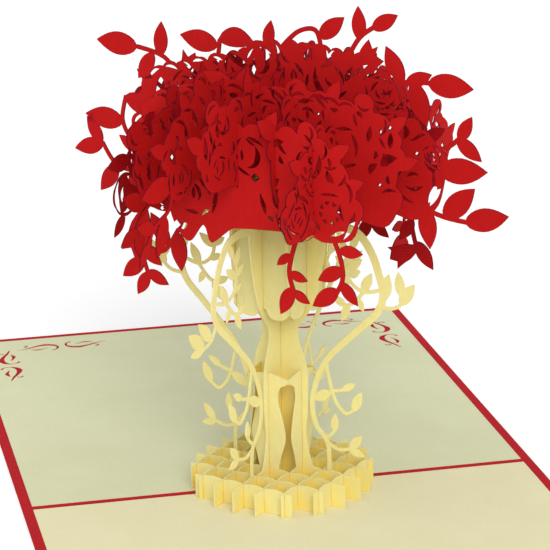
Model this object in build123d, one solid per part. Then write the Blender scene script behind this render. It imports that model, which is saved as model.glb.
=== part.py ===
"""Pop-up card: a folded red cover, cream inserts and a rose tree of interlocking paper slices.

Units are millimetres, +Z is up. The fold runs along X through the origin and the card lies open
and flat. The tree stands on the middle of the fold. It is made of two families of upright slices,
both at 45 degrees to the fold, so the lattice folds flat when the card closes.

The slices are built in a lattice frame, where the first family runs along X and the second along
-Y, and the finished tree is turned by 45 degrees. A slice is drawn as a flat outline (u, z): u is
the distance along the slice from the middle of the tree, z the height over the table.
"""

import math
import os

from build123d import *

# Card: a square cover when closed, with one cream insert glued on each half.
CARD = 150.0
COVER = 0.4
INSERT = 0.2
BORDER = 3.0
FOLD_GAP = 2.8

# Slices: sheet thickness, and the play left on each side of a crossing sheet.
SHEET = 0.3
PLAY = 0.05
LATTICE_ANGLE = 45.0

# Round base lattice of seven low strips each way.
BASE_STRIPS = 7
BASE_RADIUS = 26.0
BASE_PITCH = BASE_RADIUS * 0.2615
BASE_LOW = 6.2
BASE_HIGH = 8.2

# Trunk: its height, the tongue that reaches up into the canopy, and the petals round the foot.
TRUNK_TOP = 82.0
TONGUE_TOP = 97.0
TONGUE_HALF = 14.0
PETAL_TOP = 36.5

# Crown of the trunk: four flared panels off the base lattice.
CROWN_OFFSET = 8.8
CROWN_BOTTOM = 53.5

# Red canopy: six slices each way.
RED_PITCH = 11.6
RED_SLICES = 6

# Scroll ornament of the back insert: length and hook of one scroll, and its distance from the edge.
SCROLL = 11.5
SCROLL_SWEEP = 215
SCROLL_INSET = 8.5

# Stems and cut-outs.
STEM = 1.3
VINE = 3.2
VINE_END = 1.5
LONG_LEAF = 10.5
SLOT_REACH = 0.6

GROUND = COVER + INSERT


def face(points):
    """Flat face with straight edges through the given (u, z) points."""
    return make_face(Polyline(*points, close=True))


def leaf(tip, root, width):
    """Pointed leaf from its root to its tip, widest just under the middle."""
    du = tip[0] - root[0]
    dz = tip[1] - root[1]
    length = math.hypot(du, dz)
    side = (-dz / length, du / length)
    if length > LONG_LEAF:
        stations = (0.2, 0.36), (0.48, 0.5), (0.78, 0.34)
    else:
        stations = (0.3, 0.45), (0.68, 0.42)
    right = []
    left = []
    for along, share in stations:
        u = root[0] + du * along
        z = root[1] + dz * along
        right.append((u + side[0] * width * share, z + side[1] * width * share))
        left.append((u - side[0] * width * share, z - side[1] * width * share))
    return face([root] + right + [tip] + left[::-1])


def stem(points, width, end_width=None):
    """Band along a bent line, even or tapering to another width at its end."""
    left = []
    right = []
    last = len(points) - 1
    taper = 0 if end_width is None else (end_width - width) / last
    for index, (u, z) in enumerate(points):
        before = points[max(index - 1, 0)]
        after = points[min(index + 1, last)]
        half = (width + taper * index) / 2
        length = math.hypot(after[0] - before[0], after[1] - before[1])
        nu = -(after[1] - before[1]) / length * half
        nz = (after[0] - before[0]) / length * half
        left.append((u + nu, z + nz))
        right.append((u - nu, z - nz))
    return face(left + right[::-1])


def disc(center, radius, sides=10):
    """Round rose edge as a regular polygon."""
    step = 2 * math.pi / sides
    return face(
        [
            (center[0] + radius * math.cos(k * step), center[1] + radius * math.sin(k * step))
            for k in range(sides)
        ]
    )


def crescent(center, radius, start, sweep, width, steps=3):
    """Curved gap between two petals of a rose, pointed at both ends."""
    outer = []
    inner = []
    for k in range(steps + 1):
        angle = math.radians(start + sweep * k / steps)
        swell = width * math.sin(math.pi * k / steps)
        outer.append((center[0] + radius * math.cos(angle), center[1] + radius * math.sin(angle)))
        if 0 < k < steps:
            short = radius - swell
            inner.append((center[0] + short * math.cos(angle), center[1] + short * math.sin(angle)))
    return face(outer + inner[::-1])


# Main petal gaps of each kind of rose: share of its radius, start, sweep and width of a crescent.
ROSE_GAPS = {
    "oval": [(0.66, 0, 75, 0.2)],
    "ring": [(0.44, 255, 165, 0.22)],
    "half": [(0.40, 115, 130, 0.25)],
    "dots": [(1.0, 290, 60, 0.2)],
    "spiral": [(0.90, 20, 70, 0.16)],
    "moon": [(0.86, 130, 110, 0.24)],
    "large": [(0.90, 315, 50, 0.18)],
}


def rose_gaps(center, radius, kind):
    """The main petal gaps of a rose."""
    return [
        crescent(center, radius * share, start, sweep, radius * width)
        for share, start, sweep, width in ROSE_GAPS[kind]
    ]


def bud(tip, root):
    """Hanging bud: a body that swells from its root and ends in three pointed sepals."""
    du = tip[0] - root[0]
    dz = tip[1] - root[1]
    profile = [(0.0, 0.07), (0.35, 0.26), (0.62, 0.32), (0.90, 0.40), (0.80, 0.16)]
    right = [(root[0] + du * t - dz * s, root[1] + dz * t + du * s) for t, s in profile]
    left = [(root[0] + du * t + dz * s, root[1] + dz * t - du * s) for t, s in profile]
    return face(right + [tip] + left[::-1])


def flip(points):
    """Mirror an outline about the middle of the tree."""
    return [(-u, z) for u, z in points]


def leaves(pairs, share=0.58):
    """Leaves from (tip, root) pairs, their width a share of their length."""
    return [leaf(tip, root, share * math.dist(tip, root)) for tip, root in pairs]


def base_strip(offset):
    """Low strip of the round base with a scalloped top edge."""
    half = math.sqrt(BASE_RADIUS**2 - offset**2)
    cells = min(int(half / BASE_PITCH), BASE_STRIPS // 2)
    top = [(half, BASE_LOW - 1.0)]
    for cell in range(cells, -cells - 1, -1):
        top.append((cell * BASE_PITCH, BASE_LOW))
        if cell > -cells:
            top.append(((cell - 0.5) * BASE_PITCH, BASE_HIGH))
    top.append((-half, BASE_LOW - 1.0))
    return face([(-half, GROUND), (half, GROUND)] + top)


def trunk():
    """Main trunk profile: flared foot, swelling, neck, flared crown and hidden tongue."""
    half = [
        (12.4, GROUND),
        (10.4, 8.0),
        (9.0, 12.5),
        (8.2, 17.5),
        (8.8, 24.0),
        (9.0, 33.0),
        (8.6, 38.0),
        (7.2, 42.0),
        (6.0, 45.5),
        (6.0, 49.0),
        (8.6, 52.5),
        (11.2, 57.0),
        (13.2, 64.0),
        (14.8, 72.0),
        (15.8, TRUNK_TOP),
        (TONGUE_HALF, TRUNK_TOP + 1.0),
        (TONGUE_HALF, TONGUE_TOP),
    ]
    return face(half + flip(half)[::-1])


def petal():
    """Foot petal of the trunk: narrow at the base lattice, hourglass sides, pointed shoulders."""
    half = [
        (2.6, BASE_LOW - 1.0),
        (4.0, 11.5),
        (5.6, 17.6),
        (4.6, 23.5),
        (3.2, 29.0),
        (4.0, 32.4),
        (BASE_PITCH + 0.5, 34.2),
        (BASE_PITCH + 0.5, 35.2),
        (0.6, PETAL_TOP),
    ]
    return face(half + flip(half)[::-1])


# Branch on the +u side: a bow from the trunk top out and back to the foot, with its side shoots.
VINE_LINE = [
    (13.0, 79.5), (20.0, 80.3), (25.5, 79.0), (29.5, 74.5), (32.0, 68.5), (33.4, 62.5), (31.6, 57.4),
    (26.0, 51.8), (20.0, 46.0), (15.4, 41.0), (12.2, 35.0), (10.4, 27.0), (11.6, 20.8), (15.2, 16.4),
    (15.8, 7.0),
]
VINE_SHOOTS = [
    [(15.0, 39.5), (16.0, 35.5), (17.0, 32.2), (20.6, 32.9)],
    [(16.2, 34.2), (18.3, 28.6), (21.4, 26.0), (24.0, 27.6)],
    [(12.6, 18.9), (15.4, 18.0), (17.8, 20.4)],
    [(14.8, 16.6), (18.8, 14.8), (23.0, 15.8)],
]
VINE_LEAVES = [
    ((24.6, 35.4), (20.2, 32.7)),
    ((26.4, 33.3), (23.7, 27.0)),
    ((10.4, 28.2), (16.8, 31.6)),
    ((17.8, 25.4), (17.6, 19.8)),
    ((26.6, 20.4), (22.6, 15.6)),
    ((27.4, 14.2), (22.2, 15.6)),
]
LOW_SPRAY = [[(31.8, 58.4), (34.8, 54.0), (39.0, 52.6)]]
LOW_SPRAY_LEAVES = [((44.6, 52.2), (38.6, 52.6)), ((45.4, 58.6), (38.2, 52.9)), ((40.6, 60.4), (34.8, 54.2))]
HIGH_SPRAY = [[(33.0, 59.0), (36.8, 59.4), (39.0, 61.0), (39.1, 63.6)]]
HIGH_SPRAY_LEAVES = [((38.1, 70.0), (39.1, 63.0)), ((43.2, 67.2), (38.6, 60.6)), ((35.2, 69.0), (33.4, 61.0))]
INNER_SPRAY = [[(32.6, 64.0), (27.5, 64.2), (23.0, 64.6), (19.8, 67.2)]]
INNER_SPRAY_LEAVES = [
    ((17.4, 73.0), (20.0, 66.8)),
    ((21.8, 71.4), (22.6, 64.6)),
    ((20.6, 60.0), (25.8, 64.4)),
    ((27.4, 69.4), (27.6, 64.2)),
]


def vine(high):
    """Outlines of one branch; its outer spray stands high or low."""
    parts = [stem(VINE_LINE, VINE, VINE_END)]
    spray, spray_leaves = (HIGH_SPRAY, HIGH_SPRAY_LEAVES) if high else (LOW_SPRAY, LOW_SPRAY_LEAVES)
    parts += [stem(points, STEM) for points in VINE_SHOOTS + spray + INNER_SPRAY]
    parts += leaves(VINE_LEAVES + spray_leaves + INNER_SPRAY_LEAVES, 0.48)
    return parts


def crown():
    """Flared panel of the trunk crown with a lobed lower edge."""
    half = [
        (0.9, CROWN_BOTTOM + 2.4),
        (2.6, CROWN_BOTTOM),
        (6.6, CROWN_BOTTOM),
        (CROWN_OFFSET + 0.7, CROWN_BOTTOM + 2.4),
        (CROWN_OFFSET + 1.1, 64.0),
        (CROWN_OFFSET + 1.8, 74.0),
        (CROWN_OFFSET + 1.8, TRUNK_TOP - 1.0),
    ]
    return face(half + flip(half)[::-1])


# Canopy slices. Each has a lobed panel, roses as (u, z, radius, kind), stems as bent lines, leaves as
# (tip, root) pairs and hanging buds as (tip, root) pairs. Only the outer slices have roses of their own.
# The panels arch over the trunk top in the middle.
ARCH = TRUNK_TOP + 4.0
FRONT_OUTER = {
    "panel": [
        (-15.8, 85.7), (-16.9, 91.1), (-16.1, 96.8), (-12.6, 102.6), (-7.3, 107.6), (-1.5, 110.6), (8.7, 112.5),
        (19.2, 112.5), (29.6, 111.8), (35.4, 108.5), (38.5, 103.2), (40.3, 98.7), (42.3, 94.1), (42.6, 90.4),
        (40.8, 86.9), (36.6, 85.5), (31.7, 85.1), (28.4, 86.2), (18.5, ARCH), (7.8, 85.2), (3.6, 84.5), (0.4, 82.1),
        (-3.2, 79.8), (-5.4, 84.4), (-10.1, 79.2), (-13.3, 81.2),
    ],
    "roses": [
        (-8.4, 93.1, 8.2, "oval"), (9.8, 105.4, 7.4, "ring"), (19.8, 94.8, 7.6, "half"), (34.2, 93.3, 7.2, "dots"),
        (27.0, 106.0, 5.6, "spiral"),
    ],
    "stems": [
        [(25.1, 88.1), (22.3, 79.7), (21.5, 74.8), (23.2, 69.2)],
        [(34.4, 88.1), (37.6, 80.2), (37.8, 75.3), (36.0, 71.6)],
    ],
    "leaves": [
        ((17.7, 76.7), (21.9, 80.2)), ((27.2, 73.5), (21.4, 75.1)), ((18.7, 63.1), (22.4, 71.2)),
        ((27.8, 67.4), (22.5, 70.2)), ((44.1, 83.4), (36.8, 83.6)), ((30.4, 74.4), (38.0, 78.6)),
        ((42.5, 69.2), (37.3, 74.9)), ((28.7, 67.0), (36.6, 72.7)), ((-25.7, 89.0), (-15.8, 92.3)),
        ((-18.4, 109.5), (-12.4, 102.6)), ((-8.0, 116.5), (-4.0, 108.8)), ((3.6, 120.0), (3.2, 111.0)),
        ((14.4, 120.4), (12.6, 111.6)), ((25.0, 120.4), (22.6, 111.2)), ((37.4, 115.6), (32.0, 109.8)),
        ((46.6, 105.4), (38.4, 102.0)),
    ],
}
FRONT_MIDDLE = {
    "panel": [
        (-13.3, 87.8), (-20.2, 83.9), (-30.2, 82.5), (-38.1, 84.8), (-42.0, 95.8), (-38.1, 108.0), (-28.2, 115.0),
        (-8.4, 119.4), (8.0, 120.2), (24.0, 120.2), (38.0, 118.2), (45.6, 114.6), (48.2, 107.0), (47.3, 98.4),
        (47.6, 92.8), (46.1, 89.6), (43.9, 87.8), (34.3, 88.8), (20.3, 87.8),
    ],
    "roses": [
        (-35.1, 100.7, 7.2, "ring"), (-21.0, 109.6, 6.8, "half"), (8.1, 114.7, 7.0, "spiral"), (20.6, 115.6, 6.4, "oval"),
        (31.9, 108.3, 7.8, "moon"),
    ],
    "stems": [
        [(-32.2, 85.8), (-34.9, 73.0), (-32.5, 63.1)],
        [(-34.6, 72.5), (-27.7, 70.6), (-22.3, 77.1), (-18.4, 85.2)],
    ],
    "leaves": [
        ((-41.3, 61.3), (-33.7, 67.6)), ((-36.3, 56.7), (-32.4, 63.9)), ((-25.6, 61.1), (-32.9, 64.2)),
        ((-21.1, 65.8), (-22.4, 77.3)), ((-31.1, 81.4), (-25.2, 72.4)), ((-27.7, 66.4), (-34.7, 71.4)),
        ((-30.3, 110.1), (-19.5, 115.6)), ((-10.4, 125.4), (-3.0, 118.4)), ((1.4, 128.4), (-2.8, 118.8)),
        ((16.6, 128.2), (17.0, 119.0)), ((28.6, 128.6), (27.4, 119.0)), ((39.6, 126.4), (35.6, 117.6)),
        ((51.6, 119.4), (44.4, 113.4)), ((55.6, 107.4), (47.0, 104.4)), ((-48.4, 104.4), (-40.6, 99.4)),
        ((-44.6, 115.4), (-37.4, 107.4)),
    ],
    "buds": [((-36.6, 66.4), (-33.0, 82.4))],
}
FRONT_INNER = {
    "panel": [
        (-16.8, 86.6), (-21.8, 79.6), (-28.8, 76.6), (-36.7, 80.6), (-44.7, 78.6), (-49.7, 85.6), (-48.7, 94.6),
        (-41.7, 99.5), (-41.2, 110.5), (-38.7, 116.5), (-26.8, 122.6), (-8.8, 128.2), (9.1, 130.2), (20.0, 130.0),
        (28.1, 128.2), (37.0, 124.5), (41.6, 120.7), (42.5, 115.9), (47.5, 112.0), (53.9, 105.2), (55.4, 101.0),
        (54.9, 96.7), (53.4, 92.1), (50.4, 89.0), (45.6, 87.2), (39.0, 88.2), (29.1, 86.0), (19.1, 86.6),
    ],
    "roses": [
        (-48.7, 81.6, 6.2, "moon"), (-26.1, 115.7, 6.0, "spiral"), (-1.3, 124.6, 6.4, "ring"),
        (21.3, 122.6, 7.0, "moon"), (36.1, 120.6, 6.4, "spiral"), (46.0, 98.6, 9.2, "large"),
    ],
    "stems": [
        [(-26.7, 116.5), (-33.2, 123.0), (-42.3, 125.1)],
        [(-39.7, 94.6), (-45.7, 98.6), (-48.1, 103.5), (-46.7, 110.5)],
        [(-40.7, 88.6), (-50.7, 90.1), (-55.5, 96.0)],
        [(4.1, 128.5), (11.1, 134.8), (16.1, 135.4), (18.3, 127.5)],
        [(24.6, 126.5), (29.7, 134.8), (34.0, 138.0)],
        [(37.0, 119.5), (43.0, 124.1), (51.0, 124.9)],
        [(49.0, 106.5), (56.0, 108.3), (59.8, 111.3)],
        [(45.0, 92.1), (55.0, 89.4), (62.4, 88.8)],
    ],
    "leaves": [
        ((-56.2, 125.8), (-42.1, 125.0)), ((-33.9, 133.0), (-34.5, 123.1)), ((-42.2, 116.0), (-36.7, 123.9)),
        ((-61.1, 103.8), (-47.7, 102.9)), ((-35.7, 106.5), (-47.1, 110.5)), ((-65.3, 93.0), (-55.1, 95.6)),
        ((-60.6, 103.0), (-55.5, 95.6)), ((-56.6, 81.6), (-50.3, 90.0)), ((-51.2, 71.7), (-44.7, 78.1)),
        ((-27.7, 130.0), (-15.0, 128.0)), ((-2.8, 129.6), (-15.0, 129.0)), ((2.1, 136.8), (0.6, 129.0)),
        ((25.0, 139.8), (17.1, 133.4)), ((29.2, 143.2), (29.7, 134.0)), ((41.2, 141.9), (33.4, 137.5)),
        ((37.6, 133.4), (42.6, 123.3)), ((51.4, 127.2), (43.5, 123.9)), ((63.7, 124.6), (50.0, 124.8)),
        ((50.0, 113.1), (45.6, 124.9)), ((63.2, 117.4), (59.4, 110.3)), ((66.2, 105.7), (58.8, 111.1)),
        ((68.0, 103.1), (53.0, 101.8)), ((64.3, 98.3), (55.0, 89.0)), ((74.3, 92.1), (61.3, 88.6)),
        ((51.1, 79.9), (49.6, 91.6)), ((32.4, 134.6), (30.8, 125.0)),
    ],
    "buds": [((37.0, 129.2), (25.0, 127.4)), ((-21.4, 127.6), (-27.0, 116.0))],
}
BACK_INNER = {
    "panel": [
        (-19.2, 85.4), (-27.2, 84.0), (-34.2, 83.2), (-40.8, 83.4), (-45.3, 88.4), (-51.3, 90.4), (-54.3, 97.4),
        (-50.3, 106.5), (-42.3, 112.6), (-29.2, 117.4), (-11.2, 119.8), (6.9, 120.4), (18.9, 119.4), (33.0, 115.4),
        (43.0, 109.0), (48.0, 101.5), (47.0, 92.4), (41.0, 86.4), (31.0, 84.4), (22.9, 84.4), (16.9, 85.4),
    ],
    "stems": [
        [(39.6, 89.4), (39.2, 78.4), (35.6, 73.4)],
        [(-39.3, 109.5), (-50.3, 114.5), (-55.3, 111.5)],
    ],
    "leaves": [
        ((45.6, 70.2), (39.4, 77.8)), ((-58.3, 117.5), (-50.9, 114.1)), ((-61.3, 108.0), (-54.7, 112.1)),
        ((-60.3, 94.4), (-50.3, 96.4)), ((56.0, 100.5), (46.0, 96.5)), ((54.4, 112.4), (43.8, 105.6)),
        ((-36.0, 122.6), (-31.4, 115.0)), ((-18.6, 125.4), (-16.6, 117.6)), ((28.4, 123.4), (26.0, 116.0)),
    ],
    "buds": [((38.4, 74.8), (40.2, 89.0)), ((31.6, 71.4), (38.2, 77.2))],
}
BACK_MIDDLE = {
    "panel": [
        (-20.5, 84.3), (-25.6, 83.3), (-35.7, 86.3), (-45.8, 88.3), (-51.8, 92.3), (-50.8, 101.4), (-42.7, 108.0),
        (-27.6, 112.6), (-3.4, 115.0), (16.8, 113.6), (33.0, 107.5), (41.1, 100.4), (42.1, 91.3), (35.0, 85.4),
        (24.9, 84.8), (13.8, 85.3),
    ],
    "stems": [[(-37.7, 105.5), (-45.8, 113.6), (-51.8, 115.2)]],
    "leaves": [
        ((-58.9, 114.2), (-51.2, 115.2)), ((-47.8, 121.1), (-46.2, 113.4)), ((-58.9, 88.3), (-49.8, 93.4)),
        ((49.6, 104.5), (39.0, 98.4)), ((-33.4, 119.0), (-29.4, 110.6)), ((-17.4, 121.4), (-15.4, 112.6)),
        ((-2.4, 122.4), (-2.6, 113.4)), ((12.6, 121.4), (11.0, 112.6)), ((27.4, 117.0), (23.8, 109.4)),
        ((39.6, 112.4), (34.0, 105.4)), ((50.4, 91.4), (40.6, 91.6)),
    ],
}
BACK_OUTER = {
    "panel": [
        (-36.0, 96.0), (-35.0, 90.0), (-29.0, 85.6), (-20.0, 82.4), (-12.0, 85.8), (0.0, 85.4), (12.0, 85.8),
        (20.0, 82.4), (29.0, 85.6), (35.0, 90.0), (37.0, 97.0), (33.0, 104.0), (22.0, 109.0), (0.0, 111.6),
        (-22.0, 109.0), (-33.0, 103.5),
    ],
    "roses": [
        (-26.0, 96.4, 7.4, "large"), (-8.0, 99.0, 7.4, "half"), (9.6, 98.4, 7.4, "ring"), (26.0, 96.0, 7.4, "oval"),
    ],
    "stems": [[(-24.0, 87.0), (-27.0, 79.0), (-25.6, 72.0)], [(14.0, 88.0), (11.0, 80.0), (12.6, 73.4)]],
    "leaves": [
        ((-45.0, 104.0), (-33.5, 99.0)), ((-44.0, 88.0), (-33.0, 92.0)), ((46.5, 104.0), (35.0, 98.5)),
        ((45.0, 88.6), (34.0, 91.4)), ((-28.6, 114.6), (-23.6, 107.0)), ((-14.0, 117.6), (-12.4, 109.0)),
        ((0.6, 118.6), (0.4, 110.0)), ((15.2, 117.6), (12.6, 109.0)), ((30.2, 114.6), (24.4, 107.0)),
        ((-33.2, 76.4), (-27.0, 79.6)), ((-20.4, 78.6), (-26.8, 76.4)), ((-29.6, 65.6), (-25.8, 73.0)),
        ((-19.8, 68.4), (-25.6, 72.4)), ((4.6, 77.6), (11.2, 80.2)), ((17.6, 78.4), (11.6, 76.6)),
        ((8.6, 67.0), (12.4, 74.2)), ((18.6, 69.4), (12.6, 73.6)),
    ],
}
SIDE_FAR = {
    "panel": [
        (-33.0, 91.0), (-36.0, 96.0), (-33.0, 103.0), (-22.0, 108.0), (-8.0, 111.4), (6.0, 111.6), (20.0, 109.0),
        (31.0, 104.0), (37.0, 98.0), (38.0, 92.0), (32.0, 87.4), (22.0, 85.5), (8.0, 85.0), (-8.0, 85.0), (-22.0, 86.4),
    ],
    "roses": [
        (-26.0, 97.4, 7.2, "moon"), (-8.0, 99.6, 7.2, "spiral"), (9.0, 99.0, 7.4, "large"), (26.0, 96.6, 7.2, "ring"),
    ],
    "stems": [],
    "leaves": [
        ((-44.0, 103.4), (-33.5, 99.0)), ((-27.4, 113.6), (-22.6, 106.4)), ((-12.0, 117.0), (-10.4, 109.4)),
        ((3.0, 118.0), (3.0, 110.0)), ((18.0, 116.6), (15.0, 108.8)), ((32.0, 111.6), (26.6, 105.0)),
        ((45.6, 101.6), (36.4, 97.0)), ((45.4, 87.4), (36.4, 90.8)), ((-41.6, 86.4), (-33.0, 92.6)),
    ],
}
SIDE_LEFT = {
    "panel": [
        (-28.0, 87.4), (-36.0, 89.4), (-41.0, 93.5), (-43.0, 100.0), (-40.0, 106.6), (-33.0, 111.6), (-20.0, 115.8),
        (-4.0, 118.0), (12.0, 117.6), (28.0, 114.0), (41.0, 107.6), (49.0, 99.6), (50.0, 92.0), (44.0, 86.4),
        (34.0, 84.6), (20.0, ARCH), (-20.0, ARCH),
    ],
    "stems": [[(-30.3, 93.4), (-40.5, 88.4), (-44.6, 83.8)]],
    "leaves": [
        ((-49.1, 95.0), (-38.9, 90.4)), ((-50.6, 81.8), (-43.5, 84.9)), ((-41.5, 76.2), (-42.9, 85.7)),
        ((-46.4, 114.4), (-38.6, 106.4)), ((59.6, 100.6), (48.6, 96.5)), ((-26.6, 121.6), (-23.4, 113.4)),
        ((-10.6, 124.4), (-9.4, 116.0)), ((5.4, 125.4), (5.0, 116.6)), ((21.0, 123.4), (18.0, 115.0)),
        ((36.6, 117.6), (31.6, 111.0)), ((51.6, 110.4), (43.6, 104.4)),
    ],
}
SIDE_INNER = {
    "panel": [
        (-29.0, 90.0), (-36.0, 94.4), (-43.0, 98.0), (-46.0, 104.0), (-44.0, 110.6), (-37.0, 116.0), (-26.0, 119.6),
        (-10.0, 121.6), (6.0, 122.0), (20.0, 120.4), (34.0, 115.4), (45.0, 108.6), (51.4, 100.6), (50.6, 92.0),
        (45.0, 86.0), (34.0, 83.6), (22.0, 85.1), (-20.0, 85.1),
    ],
    "stems": [[(-42.5, 99.5), (-44.6, 92.5), (-51.5, 89.1), (-54.5, 85.1)], [(45.0, 103.2), (53.1, 105.2), (57.0, 101.2)]],
    "leaves": [
        ((-57.0, 98.1), (-42.6, 99.2)), ((-59.5, 91.1), (-51.5, 88.7)), ((-58.5, 80.0), (-54.1, 85.7)),
        ((-50.5, 80.5), (-46.0, 91.0)), ((59.1, 109.7), (52.7, 105.0)), ((63.6, 98.1), (56.6, 101.6)),
        ((-38.6, 122.6), (-33.6, 115.0)), ((-29.0, 127.6), (-28.0, 117.6)), ((-52.6, 110.6), (-44.4, 107.4)),
        ((28.4, 125.4), (26.0, 117.0)), ((44.6, 117.6), (39.6, 110.6)),
    ],
}
SIDE_MIDDLE = {
    "panel": [
        (-27.0, 90.0), (-33.0, 95.6), (-41.0, 98.5), (-46.0, 103.0), (-46.0, 109.0), (-41.0, 115.0), (-30.0, 119.0),
        (-14.0, 121.6), (2.0, 122.0), (18.0, 120.6), (32.0, 116.0), (43.6, 109.6), (50.4, 101.4), (49.6, 92.6),
        (44.0, 86.4), (34.0, 84.0), (22.0, 85.1), (-20.0, 85.1),
    ],
    "stems": [[(45.0, 104.2), (52.6, 106.4), (57.4, 104.0)]],
    "leaves": [
        ((-52.8, 114.6), (-44.6, 109.6)), ((-43.4, 122.6), (-37.6, 115.4)), ((-24.0, 127.4), (-23.0, 118.6)),
        ((58.4, 111.6), (52.4, 106.0)), ((64.0, 100.6), (56.8, 104.2)), ((30.4, 124.4), (26.4, 116.6)),
        ((44.4, 118.6), (39.0, 111.6)), ((58.6, 92.6), (49.0, 94.4)),
    ],
}
SIDE_RIGHT = {
    "panel": [
        (-18.0, 85.5), (-26.0, 90.0), (-30.0, 96.0), (-31.0, 104.0), (-30.0, 110.6), (-24.0, 114.6), (-10.0, 117.4),
        (6.0, 118.0), (20.0, 116.4), (34.0, 112.0), (45.0, 105.6), (51.0, 98.4), (51.0, 91.4), (46.0, 86.0),
        (36.0, 84.0), (24.0, 85.0),
    ],
    "stems": [],
    "leaves": [
        ((-37.4, 117.4), (-28.6, 111.4)), ((-22.8, 122.6), (-22.0, 113.6)), ((12.6, 124.4), (11.0, 115.6)),
        ((28.6, 120.6), (25.0, 112.6)), ((43.4, 114.0), (38.4, 107.6)), ((57.6, 104.6), (48.6, 99.6)),
        ((59.4, 89.6), (49.6, 91.6)),
    ],
}
SIDE_NEAR = {
    "panel": [
        (-30.0, 86.6), (-36.0, 86.4), (-41.4, 87.2), (-43.6, 93.0), (-41.0, 98.6), (-35.4, 101.5), (-34.0, 106.0),
        (-28.0, 109.6), (-14.0, 112.4), (2.0, 113.4), (18.0, 112.0), (32.0, 107.5), (42.0, 101.0), (45.5, 94.4),
        (42.0, 88.0), (34.0, 85.2), (20.0, 84.7), (4.0, 84.8), (-14.0, 85.0),
    ],
    "roses": [
        (-36.8, 93.1, 6.2, "spiral"), (-12.0, 101.0, 7.6, "moon"), (6.0, 100.6, 7.6, "oval"), (24.0, 98.0, 7.6, "large"),
        (38.0, 93.4, 6.2, "half"),
    ],
    "stems": [[(16.0, 88.0), (19.4, 80.0), (18.0, 73.6)]],
    "leaves": [
        ((-40.6, 108.6), (-33.0, 104.6)), ((-27.4, 116.4), (-24.0, 108.6)), ((-6.0, 120.0), (-5.4, 111.4)),
        ((10.6, 120.4), (9.0, 111.8)), ((26.6, 116.6), (22.4, 109.4)), ((40.4, 109.4), (35.0, 103.6)),
        ((53.6, 99.6), (44.0, 95.4)), ((25.6, 78.6), (19.0, 80.4)), ((12.6, 77.4), (19.0, 77.6)),
        ((21.6, 66.6), (18.2, 74.2)), ((11.6, 69.4), (18.3, 74.6)),
    ],
}
ACROSS = [FRONT_OUTER, FRONT_MIDDLE, FRONT_INNER, BACK_INNER, BACK_MIDDLE, BACK_OUTER]
ALONG = [SIDE_FAR, SIDE_LEFT, SIDE_INNER, SIDE_MIDDLE, SIDE_RIGHT, SIDE_NEAR]


def red_slice(design):
    """Outline of one canopy slice, with bulging roses, sprigs of leaves and buds, and its petal gaps."""
    parts = [face(design["panel"])]
    gaps = []
    for u, z, radius, kind in design.get("roses", []):
        parts.append(disc((u, z), radius))
        gaps += rose_gaps((u, z), radius, kind)
    parts += [stem(points, STEM) for points in design["stems"]]
    parts += leaves(design["leaves"])
    parts += [bud(tip, root) for tip, root in design.get("buds", [])]
    return union(parts), gaps


def spans(outline, u):
    """Heights between which an outline has paper at a crossing."""
    width = SHEET + 2 * PLAY
    strip = Pos(u, CARD) * Rectangle(width, 2 * CARD)
    crossing = outline & strip
    if not crossing:
        return []
    boxes = [piece.bounding_box() for piece in crossing.faces()]
    return [(box.min.Y, box.max.Y) for box in boxes]


def half_laps(first, second):
    """Slots for two families of slices, given as {name: (offset, outline)}.

    Where two slices cross, the first loses the upper half of the shared height and the second
    the lower half, so the sheets pass each other without touching sideways.
    """
    slots = {name: [] for name in list(first) + list(second)}
    width = SHEET + 2 * PLAY
    for name_a, (offset_a, outline_a) in first.items():
        for name_b, (offset_b, outline_b) in second.items():
            for low_a, high_a in spans(outline_a, offset_b):
                for low_b, high_b in spans(outline_b, offset_a):
                    low = max(low_a, low_b)
                    high = min(high_a, high_b)
                    if high <= low:
                        continue
                    middle = (low + high) / 2
                    top = high + (SLOT_REACH if high_a - high < SLOT_REACH else PLAY)
                    bottom = low - (SLOT_REACH if low - low_b < SLOT_REACH else PLAY)
                    upper = Pos(offset_b, (middle + top) / 2) * Rectangle(width, top - middle)
                    lower = Pos(offset_a, (middle + bottom) / 2) * Rectangle(width, middle - bottom)
                    slots[name_a].append(upper)
                    slots[name_b].append(lower)
    return slots


def lattice_offsets(count, pitch):
    """Evenly spaced offsets about zero."""
    return [(index - (count - 1) / 2) * pitch for index in range(count)]


def union(parts):
    """One outline from overlapping ones."""
    return parts[0].fuse(*parts[1:]).clean() if len(parts) > 1 else parts[0]


def cream_slices():
    """Outlines of the base, trunk and vine slices, by direction, name and offset."""
    first = {}
    second = {}
    for number, offset in enumerate(lattice_offsets(BASE_STRIPS, BASE_PITCH), 1):
        strip = base_strip(offset)
        if abs(offset) < BASE_PITCH / 2:
            families = (first, "trunk_slice_a", False), (second, "trunk_slice_b", True)
            for family, name, high in families:
                branch = vine(high)
                other = [shape.mirror(Plane.YZ) for shape in branch]
                family[name] = (offset, union([strip, trunk()] + branch + other))
            continue
        if abs(offset) < 1.5 * BASE_PITCH:
            strip = union([strip, petal()])
        first[f"base_slice_a{number}"] = (offset, strip)
        second[f"base_slice_b{number}"] = (offset, strip)
    for side, offset in (("front", -CROWN_OFFSET), ("back", CROWN_OFFSET)):
        first[f"crown_panel_a_{side}"] = (-offset, crown())
        second[f"crown_panel_b_{side}"] = (offset, crown())
    return first, second


def red_slices():
    """Outlines of the canopy slices, by direction, name and offset, and their petal gaps by name."""
    first = {}
    second = {}
    gaps = {}
    for index, offset in enumerate(lattice_offsets(RED_SLICES, RED_PITCH)):
        for family, letter, design in ((first, "a", ALONG[index]), (second, "b", ACROSS[index])):
            name = f"canopy_slice_{letter}{index + 1}"
            outline, gaps[name] = red_slice(design)
            family[name] = (offset, outline)
    return first, second, gaps


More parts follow.
